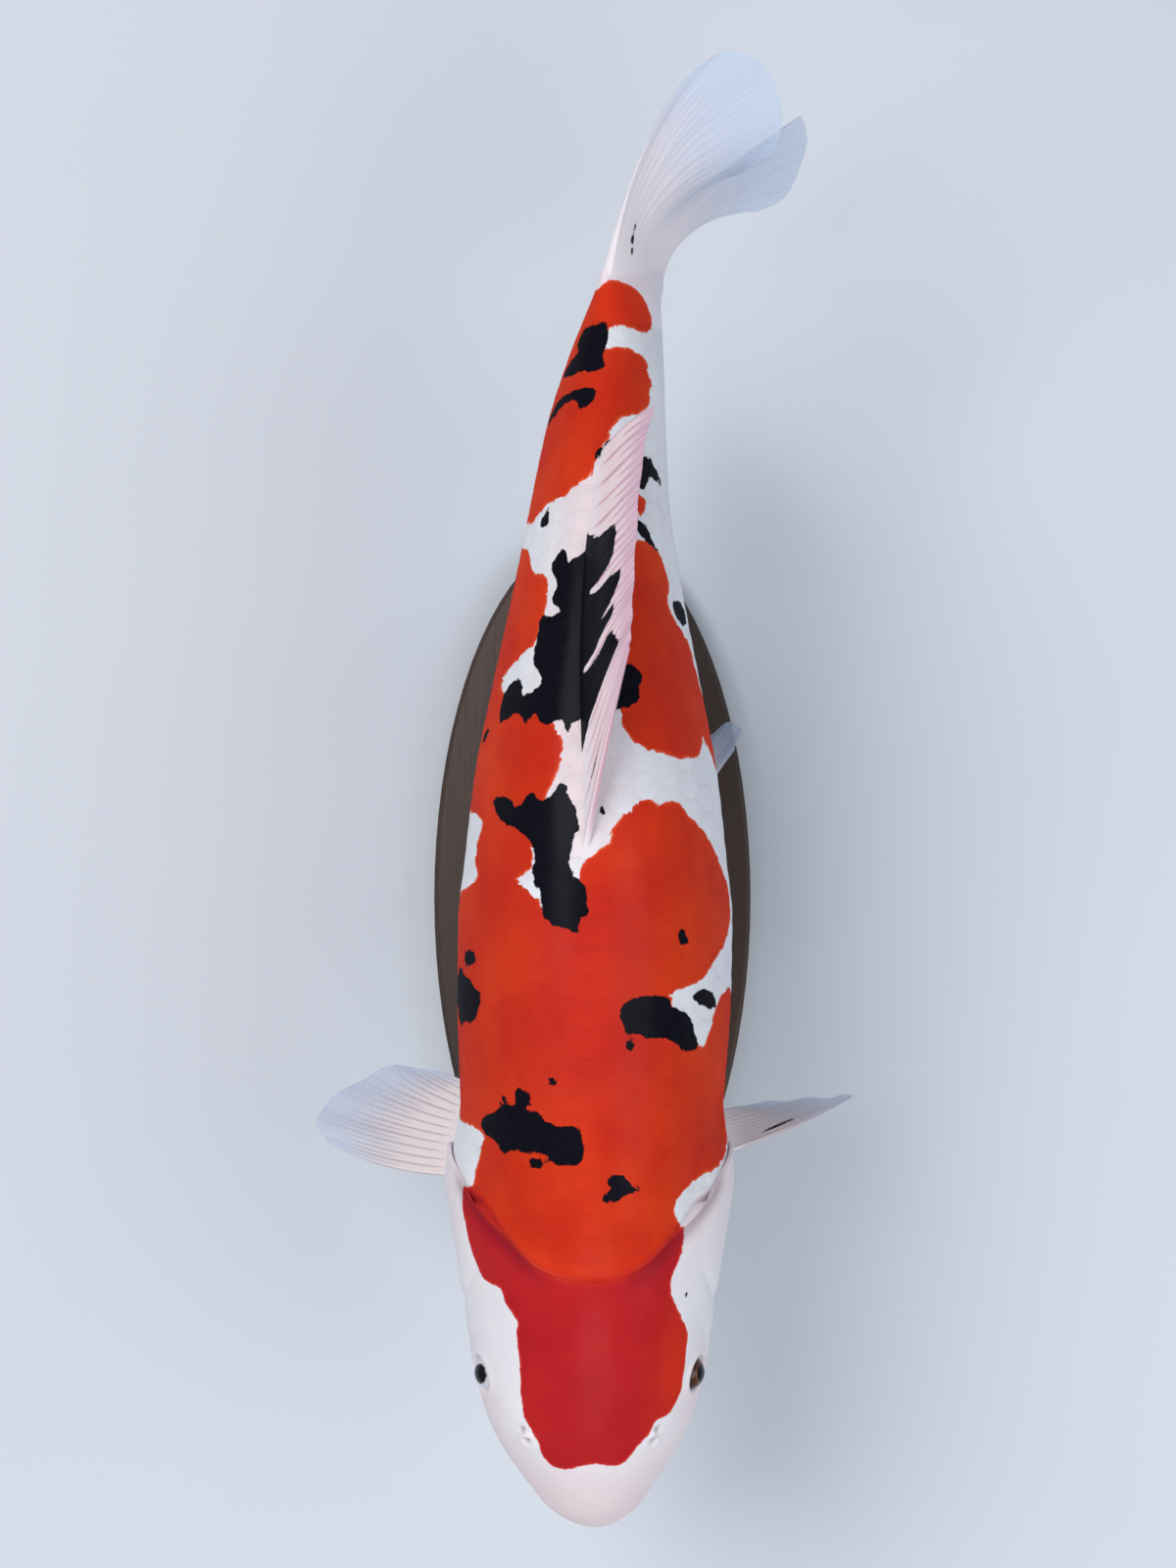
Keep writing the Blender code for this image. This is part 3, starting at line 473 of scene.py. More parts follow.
def nape_groove_shade(along, turn):
    """Painted shade in the hollow on both sides of the nape, where the head meets the scaled back."""
    both = np.abs(turn)
    away = along - nape_edge(both) + 1.5
    sides = ease(14, 30, both) * (1 - ease(60, 72, both))
    return sides * np.where(away < 0, hump(away, 5.5), hump(away, 2.5))


def skin_piece():
    along, turn, points, on_head = skin_rows()
    rows, columns = along.shape
    row, column = cells(rows - 1, columns)
    after = (column + 1) % columns
    corners = ((row, column, column), (row, after, column + 1),
               (row + 1, after, column + 1), (row + 1, column, column))
    step = 360 / columns
    uv = np.stack([unwrap(along[r, c], -180 + wide * step, on_head[r, c])
                   for r, c, wide in corners], axis=1).reshape(-1, 2)
    fan_uv = [((k + s) / columns, level) for level in (0.001, 0.999) for k in range(columns)
              for s in (0, 1, 0.5)]
    both = np.abs(turn)
    level = points[..., 2] / MM - AXIS_Z
    # Painted shade in the nostrils' holes, along the mouth's line and in the gill opening under the flap.
    deep = 0.7 * hump(spot_distance(along, turn, NOSTRIL_ALONG - 1.8, NOSTRIL_ROUND), 1.2)
    deep += 0.6 * hump(spot_distance(along, turn, NOSTRIL_ALONG + 3, NOSTRIL_ROUND + 1), 1.3)
    deep += 0.35 * hump(mouth_gap(along, level), 1.0) * (1 - ease(26, 32, along)) * on_head
    gill_gap_shade = np.zeros(along.shape)
    gill_gap_shade[HEAD_ROWS + 3:HEAD_ROWS + 8] = 0.1
    deep = np.clip(deep + gill_gap_shade * ease(52, 64, both) * (1 - ease(126, 140, both)), 0, 0.9)
    # Besides the markings, three values paint shade: in pits and gaps, in the nape's hollows, and round
    # the lower flanks and belly.
    values = {"red_depth": patch_depth(RED_PATCHES, along, turn),
              "black_depth": patch_depth(BLACK_PATCHES, along, turn),
              "head": head_share(along, turn), "blush": blush_amount(along, turn, on_head),
              "deep": deep, "groove": nape_groove_shade(along, turn), "under": ease(70, 125, both)}
    values = {key: np.append(v, (v[0].mean(), v[-1].mean())) for key, v in values.items()}
    tips = (body_point(0, 0) - np.array((0, HEAD_DEPTH * MM, 0)), points[-1].mean(axis=0))
    return new_piece("carp_skin", np.vstack([points.reshape(-1, 3), tips]),
                     ring_faces(rows, columns), values, np.vstack([uv, fan_uv]), sharp=180)


class Wire:
    """A value in a shader tree: sums and products of wires add the nodes that work them out."""

    def __init__(self, socket):
        self.socket, self.tree = socket, socket.id_data

    def math(self, other, operation, clamp=False):
        node = put(self.tree, "Math", {0: self, 1: other}, operation=operation, use_clamp=clamp)
        return Wire(node.outputs[0])

    def __add__(self, other):
        return self.math(other, "ADD")

    def __mul__(self, other):
        return self.math(other, "MULTIPLY")


def feed(node, inputs):
    """Links wires to a node's inputs, or sets them to fixed values."""
    for key, value in inputs.items():
        if isinstance(value, Wire):
            value.tree.links.new(value.socket, node.inputs[key])
        else:
            node.inputs[key].default_value = value


def put(tree, kind, inputs=None, **settings):
    """Adds a shader node: settings are its options, inputs its wires or fixed values."""
    node = tree.nodes.new("ShaderNode" + kind)
    for key, value in settings.items():
        setattr(node, key, value)
    feed(node, inputs or {})
    return node


def step_up(value, low, high, bottom_value=0.0, top_value=1.0):
    """A smooth step of a wire from low to high."""
    node = put(value.tree, "MapRange", {"Value": value, "From Min": low, "From Max": high,
                                        "To Min": bottom_value, "To Max": top_value},
               interpolation_type="SMOOTHSTEP")
    return Wire(node.outputs["Result"])


def blend(share, first, second):
    """A colour between two others."""
    return Wire(put(share.tree, "Mix", {0: share, 6: first, 7: second}, data_type="RGBA").outputs[2])


def swing(noise, size):
    """A noise's swings to both sides of its middle, by a size."""
    return (noise + -0.5) * size


def new_group(name, inputs, outputs):
    """An empty shader group with named inputs and outputs of some kinds, and its inputs' wires."""
    tree = bpy.data.node_groups.new(name, "ShaderNodeTree")
    for in_out, labels in (("INPUT", inputs), ("OUTPUT", outputs)):
        for label, kind in labels.items():
            tree.interface.new_socket(label, in_out=in_out, socket_type="NodeSocket" + kind)
    given = tree.nodes.new("NodeGroupInput").outputs
    return tree, [Wire(given[label]) for label in inputs]


def grain_group():
    """Noise fixed to the piece, about 0 to 1, with a scale in waves a metre."""
    tree, (scale, detail, stretch) = new_group(
        "grain", {"Scale": "Float", "Detail": "Float", "Stretch": "Vector"}, {"Grain": "Float"})
    place = Wire(put(tree, "TexCoord").outputs["Object"])
    place = Wire(put(tree, "Mapping", {"Vector": place, "Scale": stretch}).outputs[0])
    noise = put(tree, "TexNoise", {"Vector": place, "Scale": scale, "Detail": detail})
    feed(tree.nodes.new("NodeGroupOutput"), {"Grain": Wire(noise.outputs[0])})
    return tree


GRAIN = grain_group()


def grain(tree, scale, detail=3.0, stretch=(1, 1, 1)):
    given = {"Scale": scale, "Detail": detail, "Stretch": stretch}
    return Wire(put(tree, "Group", given, node_tree=GRAIN).outputs[0])


def bump(height, strength, distance=0.0003):
    inputs = {"Height": height, "Strength": strength, "Distance": distance}
    return Wire(put(height.tree, "Bump", inputs).outputs[0])


def attribute(tree, name):
    return Wire(put(tree, "Attribute", attribute_name=name).outputs["Fac"])


def new_material(name):
    """An empty material, its tree and its shader."""
    mat = bpy.data.materials.new(name)
    mat.use_nodes = True
    return mat, mat.node_tree, mat.node_tree.nodes["Principled BSDF"]


# The pattern's values: depths in the markings, the red's tone, blush, and three amounts of painted shade.
DEPTHS = ("red_depth", "black_depth", "head", "blush", "deep", "groove", "under")


def socket_name(key):
    return key.replace("_", " ").title()


def koi_pattern():
    """The carp's colours from depths in the red and black patches, with edges as skin has them, and
    painted shade.
    """
    tree, (red_depth, black_depth, head, blush, deep, groove, under) = new_group(
        "koi_pattern", {socket_name(key): "Float" for key in DEPTHS},
        {"Colour": "Color", "Roughness": "Float", "Height": "Float"})
    wide, lumps, middle, fine = (grain(tree, *size) for size in ((24,), (190, 2), (420,), (1500, 2)))
    ragged = swing(middle, 1.2)
    red_edge = red_depth + ragged + swing(lumps, 1.8)
    black = step_up(black_depth + ragged + swing(lumps, 3.0) + swing(fine, 0.5), -0.35, 0.2)

    white = blend(step_up(wide, 0.35, 0.7), (0.77, 0.745, 0.775, 1), (0.83, 0.81, 0.83, 1))
    # Painted shade: the white turns a darker blue-grey round the lower flanks and belly.
    white = blend(under, white, (0.73, 0.77, 0.86, 1))
    white = blend(blush * 0.6, white, (0.84, 0.56, 0.55, 1))
    flushed = step_up(wide, 0.3, 0.72)
    body_red = blend(flushed, (0.58, 0.026, 0.010, 1), (0.70, 0.046, 0.011, 1))
    head_red = blend(flushed, (0.41, 0.012, 0.017, 1), (0.49, 0.019, 0.021, 1))
    rim_red = blend(head, (0.74, 0.075, 0.022, 1), (0.60, 0.035, 0.028, 1))
    red = blend(step_up(red_edge, 0.1, 1.6), rim_red, blend(head, body_red, head_red))
    colour = blend(step_up(red_edge, -0.3, 0.4), white, red)
    # Painted shade in the nape's hollows.
    colour = blend(groove * 0.5, colour, (0.14, 0.006, 0.022, 1))
    ink = blend(middle, (0.003, 0.003, 0.006, 1), (0.008, 0.008, 0.013, 1))
    # Painted shade in pits and gaps: nostrils, mouth line, gill opening, the scales' covered fronts and
    # pores.
    colour = blend(deep, blend(black, colour, ink), (0.16, 0.035, 0.04, 1))
    feed(tree.nodes.new("NodeGroupOutput"), {
        "Colour": colour, "Roughness": middle * 0.12 + 0.36 + black * 0.08,
        "Height": fine * 0.35 + middle + black * 0.25})
    return tree


KOI_PATTERN = koi_pattern()


def patterned_skin(name, strength):
    """Wet skin in the carp's pattern, read from the piece's own depths."""
    mat, tree, shader = new_material(name)
    group = put(tree, "Group", node_tree=KOI_PATTERN)
    feed(group, {socket_name(key): attribute(tree, key) for key in DEPTHS})
    colour, roughness, height = (Wire(socket) for socket in group.outputs)
    feed(shader, {"Base Color": colour, "Roughness": roughness, "Normal": bump(height, strength),
                  "Subsurface Weight": 0.12, "Subsurface Radius": (1.0, 0.35, 0.25),
                  "Subsurface Scale": 0.003, "Coat Weight": 0.08, "Coat Roughness": 0.25,
                  "Specular IOR Level": 0.0})
    return mat


skin = skin_piece()
skin.data.materials.append(patterned_skin("koi_skin", 0.25))
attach(skin, "root")
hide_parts("head", "lower_jaw", "gill_cover_left", "gill_cover_right", "trunk", "tail_stem")


# The scales: thin overlapping plates in long rows beside the lateral line, biggest on the flanks
# and small towards the tail. Each grows from a root under the plates before it.
SCALE_PITCH = ((110, 8.6), (170, 10.0), (230, 11.4), (340, 11.4), (420, 10.0), (500, 8.0), (536, 6.6))
SCALE_TALL = 1.24               # a row's spacing as a share of the pitch along it
REAR_REACH, ROOT_REACH, SIDE_REACH = 0.98, 0.26, 1.03     # of the row's spacing
PLATE_LOW, PLATE_LIFT, PLATE_CROWN, PLATE_UNDER = -0.60, 0.42, 0.07, -0.95   # out, millimetres
RIM_DROP = 0.13                 # the rear rim's rounding
FIRST_STATION, OUTER_ROW = 100.0, 9      # rows are numbered from the lateral line, up and down
EDGE_ROOM, BARE_STEM = 0.6, 14.0         # left free behind the head's edge, and before the tail fin
SIDE_POINTS, LONG_POINTS = 11, 8
ROOT_PATCH = 0.003              # a plate's patch on the flat map

scale_pitch = smooth_table(SCALE_PITCH)


def row_spacing(along):
    """Degrees between neighbouring rows of scales."""
    return np.degrees(SCALE_TALL * scale_pitch(along) / mean_radius(along))


def scale_roots():
    """Places along, degrees round and row numbers of the scales' widest points."""
    stations = [FIRST_STATION]
    while stations[-1] < BODY_END:
        stations.append(stations[-1] + float(scale_pitch(stations[-1])))
    stations = np.array(stations)
    middles = (stations[1:] + stations[:-1]) / 2
    found = []
    for row in range(-OUTER_ROW, OUTER_ROW + 1):
        along = middles if row % 2 else stations
        turn = 90 - row * row_spacing(along)
        spacing = SCALE_TALL * scale_pitch(along)
        # Low down the edge slants, so there a scale also has to clear it above and below itself.
        beside = turn + row_spacing(along) * ease(95, 115, turn) * np.array([[-1.05], [0], [1.05]])
        pocket = (FLAP_POCKET - 1) * ease(52, 64, beside) * (1 - ease(112, 124, beside))
        front = (nape_edge(np.abs(beside)) - pocket).max(axis=0)
        keep = (turn > -0.15 * row_spacing(along)) & (turn < 180 + 0.15 * row_spacing(along))
        keep &= along - ROOT_REACH * spacing > front + EDGE_ROOM
        keep &= along + REAR_REACH * spacing < BODY_END - BARE_STEM
        found += [(a, t, row) for a, t in zip(along[keep], turn[keep])]
    return np.array(found)


def grid_rim(rows, columns):
    """Numbers of the points round the edge of a grid of points."""
    grid = np.arange(rows * columns).reshape(rows, columns)
    return np.concatenate([grid[:, 0], grid[-1, 1:], grid[-2::-1, -1], grid[0, -2:0:-1]])


def scales(side, label):
    """All the scales of one side, joined as one piece of closed plates."""
    root_along, root_turn, row = (c[:, None, None] for c in scale_roots().T)
    spacing = SCALE_TALL * scale_pitch(root_along)
    across = np.sin(np.linspace(-math.pi / 2, math.pi / 2, SIDE_POINTS))[None, None, :]
    share = (np.linspace(0, 1, LONG_POINTS) ** 0.9)[None, :, None]
    front = root_along - ROOT_REACH * spacing * np.sqrt(1 - 0.75 * across ** 2)
    rear = root_along + REAR_REACH * spacing * np.sqrt(1.02 - across ** 2)
    along = front + (rear - front) * share
    degrees = row_spacing(along) * SIDE_REACH
    row_line = 90 - row * row_spacing(along)
    turn = side * (row_line + across * degrees)
    reach = (along - (root_along - ROOT_REACH * spacing)) / ((ROOT_REACH + REAR_REACH) * spacing)
    out = PLATE_LOW + PLATE_LIFT * reach + PLATE_CROWN * (1 - across ** 2)
    out = out - RIM_DROP * ease(0.72, 1.0, share) - 0.05 * np.abs(across) ** 4
    both = np.abs(turn)
    calm = 26 + 22 * ease(95, 120, both)              # behind the head the plates lie flatter so far
    ends = np.maximum(ease(488, 522, along), 1 - ease(2, calm, along - nape_edge(both)))
    flat_share = np.maximum(0.85 * ends, 0.5 * (1 - ease(30, 75, both)))
    out = out - (out - PLATE_LOW) * flat_share
    out = out - 0.2 * (1 - ease(0, 0.3, share)) - 0.25 * ease(506, 519, along)
    pore = (row == 0) * hump(across * spacing, 0.9)   # the lateral line's, on the middle row
    pore = pore * ease(0.2, 0.35, share) * (1 - ease(0.7, 0.85, share))
    out = out + 0.18 * pore + 0.012 * (side + 1)      # the sides meet on the back, one over the other
    plates = len(root_along)
    points = body_point(along, turn, out)
    under = body_point(root_along + 0.3 * spacing, side * (90 - row * row_spacing(root_along)),
                       PLATE_UNDER)
    each = LONG_POINTS * SIDE_POINTS + 1
    points = np.concatenate([points.reshape(plates, -1, 3), under.reshape(plates, 1, 3)], axis=1)

    i, j = cells(LONG_POINTS - 1, SIDE_POINTS - 1)
    a, rim = i * SIDE_POINTS + j, grid_rim(LONG_POINTS, SIDE_POINTS)
    quads = np.stack([a, a + 1, a + SIDE_POINTS + 1, a + SIDE_POINTS], axis=1)[:, ::-side]
    fans = np.stack([rim, np.roll(rim, -1), np.full(len(rim), each - 1)], axis=1)[:, ::-side]
    plate_faces = quads.tolist() + fans.tolist()
    faces = [[k + plate * each for k in face] for plate in range(plates) for face in plate_faces]

    root_map = unwrap(root_along, side * root_turn, 0 * root_along)
    spot = np.stack(np.broadcast_arrays(across * 0.5 + 0 * share, share - 0.5 + 0 * across), axis=-1)
    patch = root_map + spot * ROOT_PATCH
    patch = np.concatenate([patch.reshape(plates, -1, 2), root_map.reshape(plates, 1, 2)], axis=1)
    corners = np.concatenate([np.ravel(quads), np.ravel(fans)])
    uv = patch[:, corners, :]

    def each_point(numbers):
        whole = np.broadcast_to(numbers, along.shape).reshape(plates, -1)
        return np.concatenate([whole, whole.mean(axis=1, keepdims=True)], axis=1)

    middle_along = root_along + 0.45 * spacing
    middle_turn = side * (90 - row * row_spacing(middle_along))
    own_red = patch_depth(RED_PATCHES, along, turn)
    plate_red = patch_depth(RED_PATCHES, middle_along, middle_turn)
    values = {"red_depth": each_point(0.85 * own_red + 0.15 * plate_red),
              "black_depth": each_point(patch_depth(BLACK_PATCHES, along, turn)),
              "head": each_point(head_share(along, turn)),
              "groove": each_point(nape_groove_shade(along, turn)),
              "blush": each_point(blush_amount(along, turn, 0.0)),
              # Painted shade at each plate's covered front and in the lateral line's pores, and round the
              # lower flanks and belly.
              "deep": each_point(0.05 * (1 - ease(0, 0.4, share)) + 0.09 * (pore > 0.6)),
              "under": each_point(ease(70, 125, both))}
    piece = new_piece("scales_" + label, points, faces, values, uv.reshape(-1, 2), sharp=50)
    piece.data.materials.append(SCALE_SKIN)
    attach(piece, "root")


SCALE_SKIN = patterned_skin("koi_scales", 0.2)
scales(1, "left")
scales(-1, "right")


# The eyes: a glassy ball in each socket, with a black pupil, a thin ring and an iris in the tone
# of the skin beside it: dark brown by the red patch, pale on the white side.
EYE_RINGS, EYE_SPOKES = 44, 72
PUPIL, PUPIL_RING, IRIS = 4.1, 4.5, 7.1           # millimetres from the eye's axis
BALL_SHARE, BALL_INSET, CORNEA_BULGE = 0.985, 0.3, 0.35     # of the radius; millimetres


def streaks(places, scale, detail):
    """Noise over places told by two or three wires."""
    tree = places[0].tree
    place = Wire(put(tree, "CombineXYZ", dict(enumerate(places))).outputs[0])
    return Wire(put(tree, "TexNoise", {"Vector": place, "Scale": scale, "Detail": detail}).outputs[0])


def eye_pattern():
    """A black pupil with a thin ring, an iris streaked outwards, and a rim in the lids' tone."""
    tree, (dark, bright, ring, rim) = new_group(
        "eye_pattern", dict.fromkeys(("Dark", "Bright", "Ring", "Rim"), "Color"), {"Colour": "Color"})
    away = attribute(tree, "from_axis") + swing(grain(tree, 900, 2), 0.8)
    streak = streaks((attribute(tree, "spoke") * 5, away * 0.25), 3.0, 3.0)
    iris = blend(step_up(streak, 0.35, 0.68), dark, bright)
    iris = blend(step_up(away, PUPIL_RING, PUPIL_RING + 0.5), ring, iris)
    iris = blend(step_up(away, IRIS - 0.8, IRIS + 0.5), iris, rim)
    colour = blend(step_up(away, PUPIL - 0.1, PUPIL + 0.25), (0.002, 0.002, 0.003, 1), iris)
    feed(tree.nodes.new("NodeGroupOutput"), {"Colour": colour})
    return tree


EYE_PATTERN = eye_pattern()


def eye_material(name, dark, bright, ring, rim):
    mat, tree, shader = new_material(name)
    tones = {"Dark": dark, "Bright": bright, "Ring": ring, "Rim": rim}
    pattern = put(tree, "Group", tones, node_tree=EYE_PATTERN)
    feed(shader, {"Base Color": Wire(pattern.outputs[0]), "Roughness": 0.22, "Coat Weight": 0.3,
                  "Coat Roughness": 0.03, "Specular IOR Level": 0.2})
    return mat


def eyeball(label, side, tilt, mat):
    """A ball with a slightly fuller cornea, that looks out of the head and up by some tilt."""
    low, high = (np.array(corner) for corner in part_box("eye_" + label))
    centre, radius = (low + high) / 2, float(np.min(high - low)) / 2
    surface = body_point(EYE_ALONG, side * EYE_ROUND, 0.0, head=True)
    axis = (Vector(surface - centre).normalized() + Vector((0, 0, tilt))).normalized()
    level = axis.orthogonal().normalized()
    bend = math.pi * np.arange(1, EYE_RINGS)[:, None, None] / EYE_RINGS
    angle = 2 * math.pi * np.arange(EYE_SPOKES)[:, None] / EYE_SPOKES
    sideways = np.cos(angle) * np.array(level) + np.sin(angle) * np.array(axis.cross(level))
    size = radius * BALL_SHARE + (CORNEA_BULGE * hump(bend, 0.5) - BALL_INSET) * MM
    rings = centre + (np.array(axis) * np.cos(bend) + sideways * np.sin(bend)) * size
    tips = centre + np.outer((1, -1), axis) * (radius * BALL_SHARE + 0.05 * MM)
    away = np.where(bend < math.pi / 2, np.sin(bend), 1) * radius / MM + 0 * angle
    spoke = np.abs(angle / math.pi - 1) * 6 + 0 * bend
    values = {"from_axis": np.append(away, (0, radius / MM)), "spoke": np.append(spoke, (0, 0))}
    faces = [face[:1] + face[:0:-1] for face in ring_faces(EYE_RINGS - 1, EYE_SPOKES)]
    piece = new_piece("eyeball_" + label, np.vstack([rings.reshape(-1, 3), tips]), faces, values,
                      sharp=180)
    piece.data.materials.append(mat)
    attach(piece, "root")
    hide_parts("eye_" + label)


eyeball("left", 1, 0.0, eye_material("koi_eye_brown", (0.020, 0.006, 0.003, 1), (0.13, 0.040, 0.014, 1),
                                     (0.16, 0.06, 0.025, 1), (0.012, 0.005, 0.006, 1)))
eyeball("right", -1, 0.36, eye_material("koi_eye_pale", (0.52, 0.55, 0.62, 1), (0.68, 0.70, 0.76, 1),
                                        (0.46, 0.42, 0.40, 1), (0.74, 0.73, 0.77, 1)))


# The fins: thin skin stretched over soft rays, which leave the body as a fleshy row and split in
# two and in four on the way to the edge. The blood shows pink at the roots, the edge is clear.
RAY_COLUMNS = 13                # from one ray to the next


def key_line(keys, share):
    """A smooth line in space through (share, (x, y, height over the middle line)) points."""
    x, y, up = (smooth_table([(at, spot[axis]) for at, spot in keys])(share) for axis in range(3))
    return np.stack([x, y, AXIS_Z + up], axis=-1) * MM


def ray_ridges(across, out, rays):
    """1 on the rays, falling to 0 in the grooves between them and where they split."""
    offset = np.abs(np.mod(across * rays, 1) - 0.5)
    groove = hump(0.5 - offset, 0.09 + 0.07 * out)
    groove = np.maximum(groove, ease(0.38, 0.62, out) * hump(offset, 0.05 + 0.05 * out))
    return 1 - np.maximum(groove, 0.9 * ease(0.66, 0.88, out) * hump(offset - 0.25, 0.07))


def fin(name, node, root, bend, tip, rays, size, mat, thick=(2.2, 0.55, 0.2), rows=44, wave=0.45,
        black=(), leading=0.4, flesh=0.0, bare=0.0):
    """A closed fin on a fan of arcs from the root line through the bend line to the edge.

    thick is the root's and the skin's thickness and the rays' height, size the width and length
    that the black outlines are drawn for, leading the extra thickness of the first ray, and bare
    the share of the length that stays smooth flesh.
    """
    columns = rays * RAY_COLUMNS + 1
    across, out = np.meshgrid(np.linspace(0, 1, columns), np.linspace(0, 1, rows) ** 0.92,
                              indexing="ij")
    ridge = 1 - (1 - ray_ridges(across, out, rays)) * ease(bare, bare + 0.2, out)
    reach = out * (1 - 0.006 * (1 - ridge) * ease(0.6, 1, out))
    start, middle, end = (key_line(keys, across) for keys in (root, bend, tip))
    t = reach[..., None]
    sheet = start * (1 - t) ** 2 + middle * 2 * t * (1 - t) + end * t * t
    normal = np.cross(np.gradient(sheet, axis=0), np.gradient(sheet, axis=1))
    normal /= np.maximum(np.linalg.norm(normal, axis=-1, keepdims=True), 1e-12)
    ripple = wave * np.sin(across * rays * math.pi * 0.62 + 2.5 * out) * ease(0.25, 1, out)
    ripple = ripple * ease(0, 0.08, across) * ease(0, 0.08, 1 - across)
    sheet = sheet + normal * (ripple * MM)[..., None]
    root_thick, skin_thick, ray_height = thick
    lens = np.sqrt(4 * across * (1 - across))
    body = skin_thick + (root_thick - skin_thick) * lens * (1 - ease(-0.06, 0.32, out)) / 0.93
    half = 0.5 * body * (1 - 0.5 * ease(0.5, 1, out))
    half = half + ray_height * ridge * ease(bare, bare + 0.16, out) * (1 - 0.75 * out)
    half = half + leading * hump(across, 0.6 / rays) * (1 - 0.7 * out)
    half = half * np.sqrt(np.clip(np.minimum(across, 1 - across) * rays * 5 + 0.15, 0, 1))
    points = np.stack([sheet + normal * (half * MM)[..., None],
                       sheet - normal * (half * MM)[..., None]])

    layer = columns * rows
    i, j = cells(columns - 1, rows - 1)
    a, rim = i * rows + j, grid_rim(columns, rows)
    quad = np.stack([a, a + rows, a + rows + 1, a + 1], axis=1)
    edge = np.stack([rim, rim + layer, np.roll(rim, -1) + layer, np.roll(rim, -1)], axis=1)
    faces = np.vstack([quad, quad[:, ::-1] + layer, edge])
    flat = np.stack([across * 0.47 + 0.01, out * 0.96 + 0.02], axis=-1).reshape(-1, 2)
    uv = np.vstack([flat, flat + (0.5, 0)])[faces].reshape(-1, 2)
    outlines = [closed_curve(outline) * size for outline in black]
    spots = np.stack([across, out], axis=-1).reshape(-1, 2) * size
    values = {"ray": ridge, "across": across, "out": out, "black_depth": depth_inside(outlines, spots),
              "flesh": np.clip(flesh * (1 - ease(0.15, 0.8, out)) + 1 - ease(0, 0.3, out), 0, 1)}
    values = {key: np.tile(np.ravel(v), 2) for key, v in values.items()}
    piece = new_piece(name, points, faces.tolist(), values, uv, sharp=70)
    piece.data.materials.append(mat)
    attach(piece, "root")
    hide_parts(node)


def fin_pattern():
    """Soft rays with painted shade lines between them, thick and pink at the root, that thin out to clear
    skin: Clearness is how much shows through at the edge, Ragged how far the black runs along the rays."""
    tree, (base, skin_tone, groove_shade_tone, groove_shade_amount, clear_from, clearness, ragged) = new_group(
        "fin_pattern", {"Rays": "Color", "Skin": "Color", "Shade Lines": "Color", "Shade Line Depth": "Float",
                        "Clear From": "Float", "Clearness": "Float", "Ragged": "Float"},
        {"Colour": "Color", "Alpha": "Float", "Height": "Float"})
    ray, across, out, flesh = (attribute(tree, key) for key in ("ray", "across", "out", "flesh"))
    fine = grain(tree, 700)
    streak = streaks((across * 30.0, out * 1.6, flesh * 0.3), 1.6, 4.0)
    uneven = swing(streak, 0.9)
    clear = step_up(out + uneven * 0.5, clear_from, 1.0)
    # Painted shade in the grooves between the rays, fainter where the fin turns clear.
    groove = step_up(ray + uneven, 0.1, 0.85, 1.0, 0.0) + clear * -0.7
    groove = (groove * groove_shade_amount).math(0.0, "ADD", clamp=True)
    black = attribute(tree, "black_depth") + swing(fine, 1.6) + swing(streak, ragged)
    black = step_up(black, -0.4, 0.5)
    colour = blend(flesh * 0.5, blend(clear, base, skin_tone), (0.84, 0.72, 0.73, 1))
    colour = blend(groove, colour, groove_shade_tone)
    colour = blend(step_up(out, 0.04, 0.3, 0.9, 0.0), colour, (0.81, 0.75, 0.77, 1))
    solid = clear * (ray * 0.25 + clearness * -1.0 + -0.25) + 1.0
    joints = (out * 210.0).math(0.0, "SINE") * ray * 0.25
    feed(tree.nodes.new("NodeGroupOutput"), {
        "Colour": blend(black, colour, (0.004, 0.004, 0.007, 1)),
        "Alpha": solid.math(black, "ADD", clamp=True), "Height": joints + fine})
    return tree


FIN_PATTERN = fin_pattern()


def fin_material(name, base, skin_tone, groove_shade_tone, groove_shade_amount, clear_from, clearness, ragged=6.0):
    mat, tree, shader = new_material(name)
    # The line tone paints shade in the grooves between the rays.
    pattern = put(tree, "Group", {"Rays": base, "Skin": skin_tone, "Shade Lines": groove_shade_tone,
                                  "Shade Line Depth": groove_shade_amount, "Clear From": clear_from,
                                  "Clearness": clearness, "Ragged": ragged}, node_tree=FIN_PATTERN)
    colour, alpha, height = (Wire(socket) for socket in pattern.outputs)
    feed(shader, {"Base Color": colour, "Alpha": alpha, "Normal": bump(height, 0.2),
                  "Roughness": 0.42, "Specular IOR Level": 0.06})
    return mat


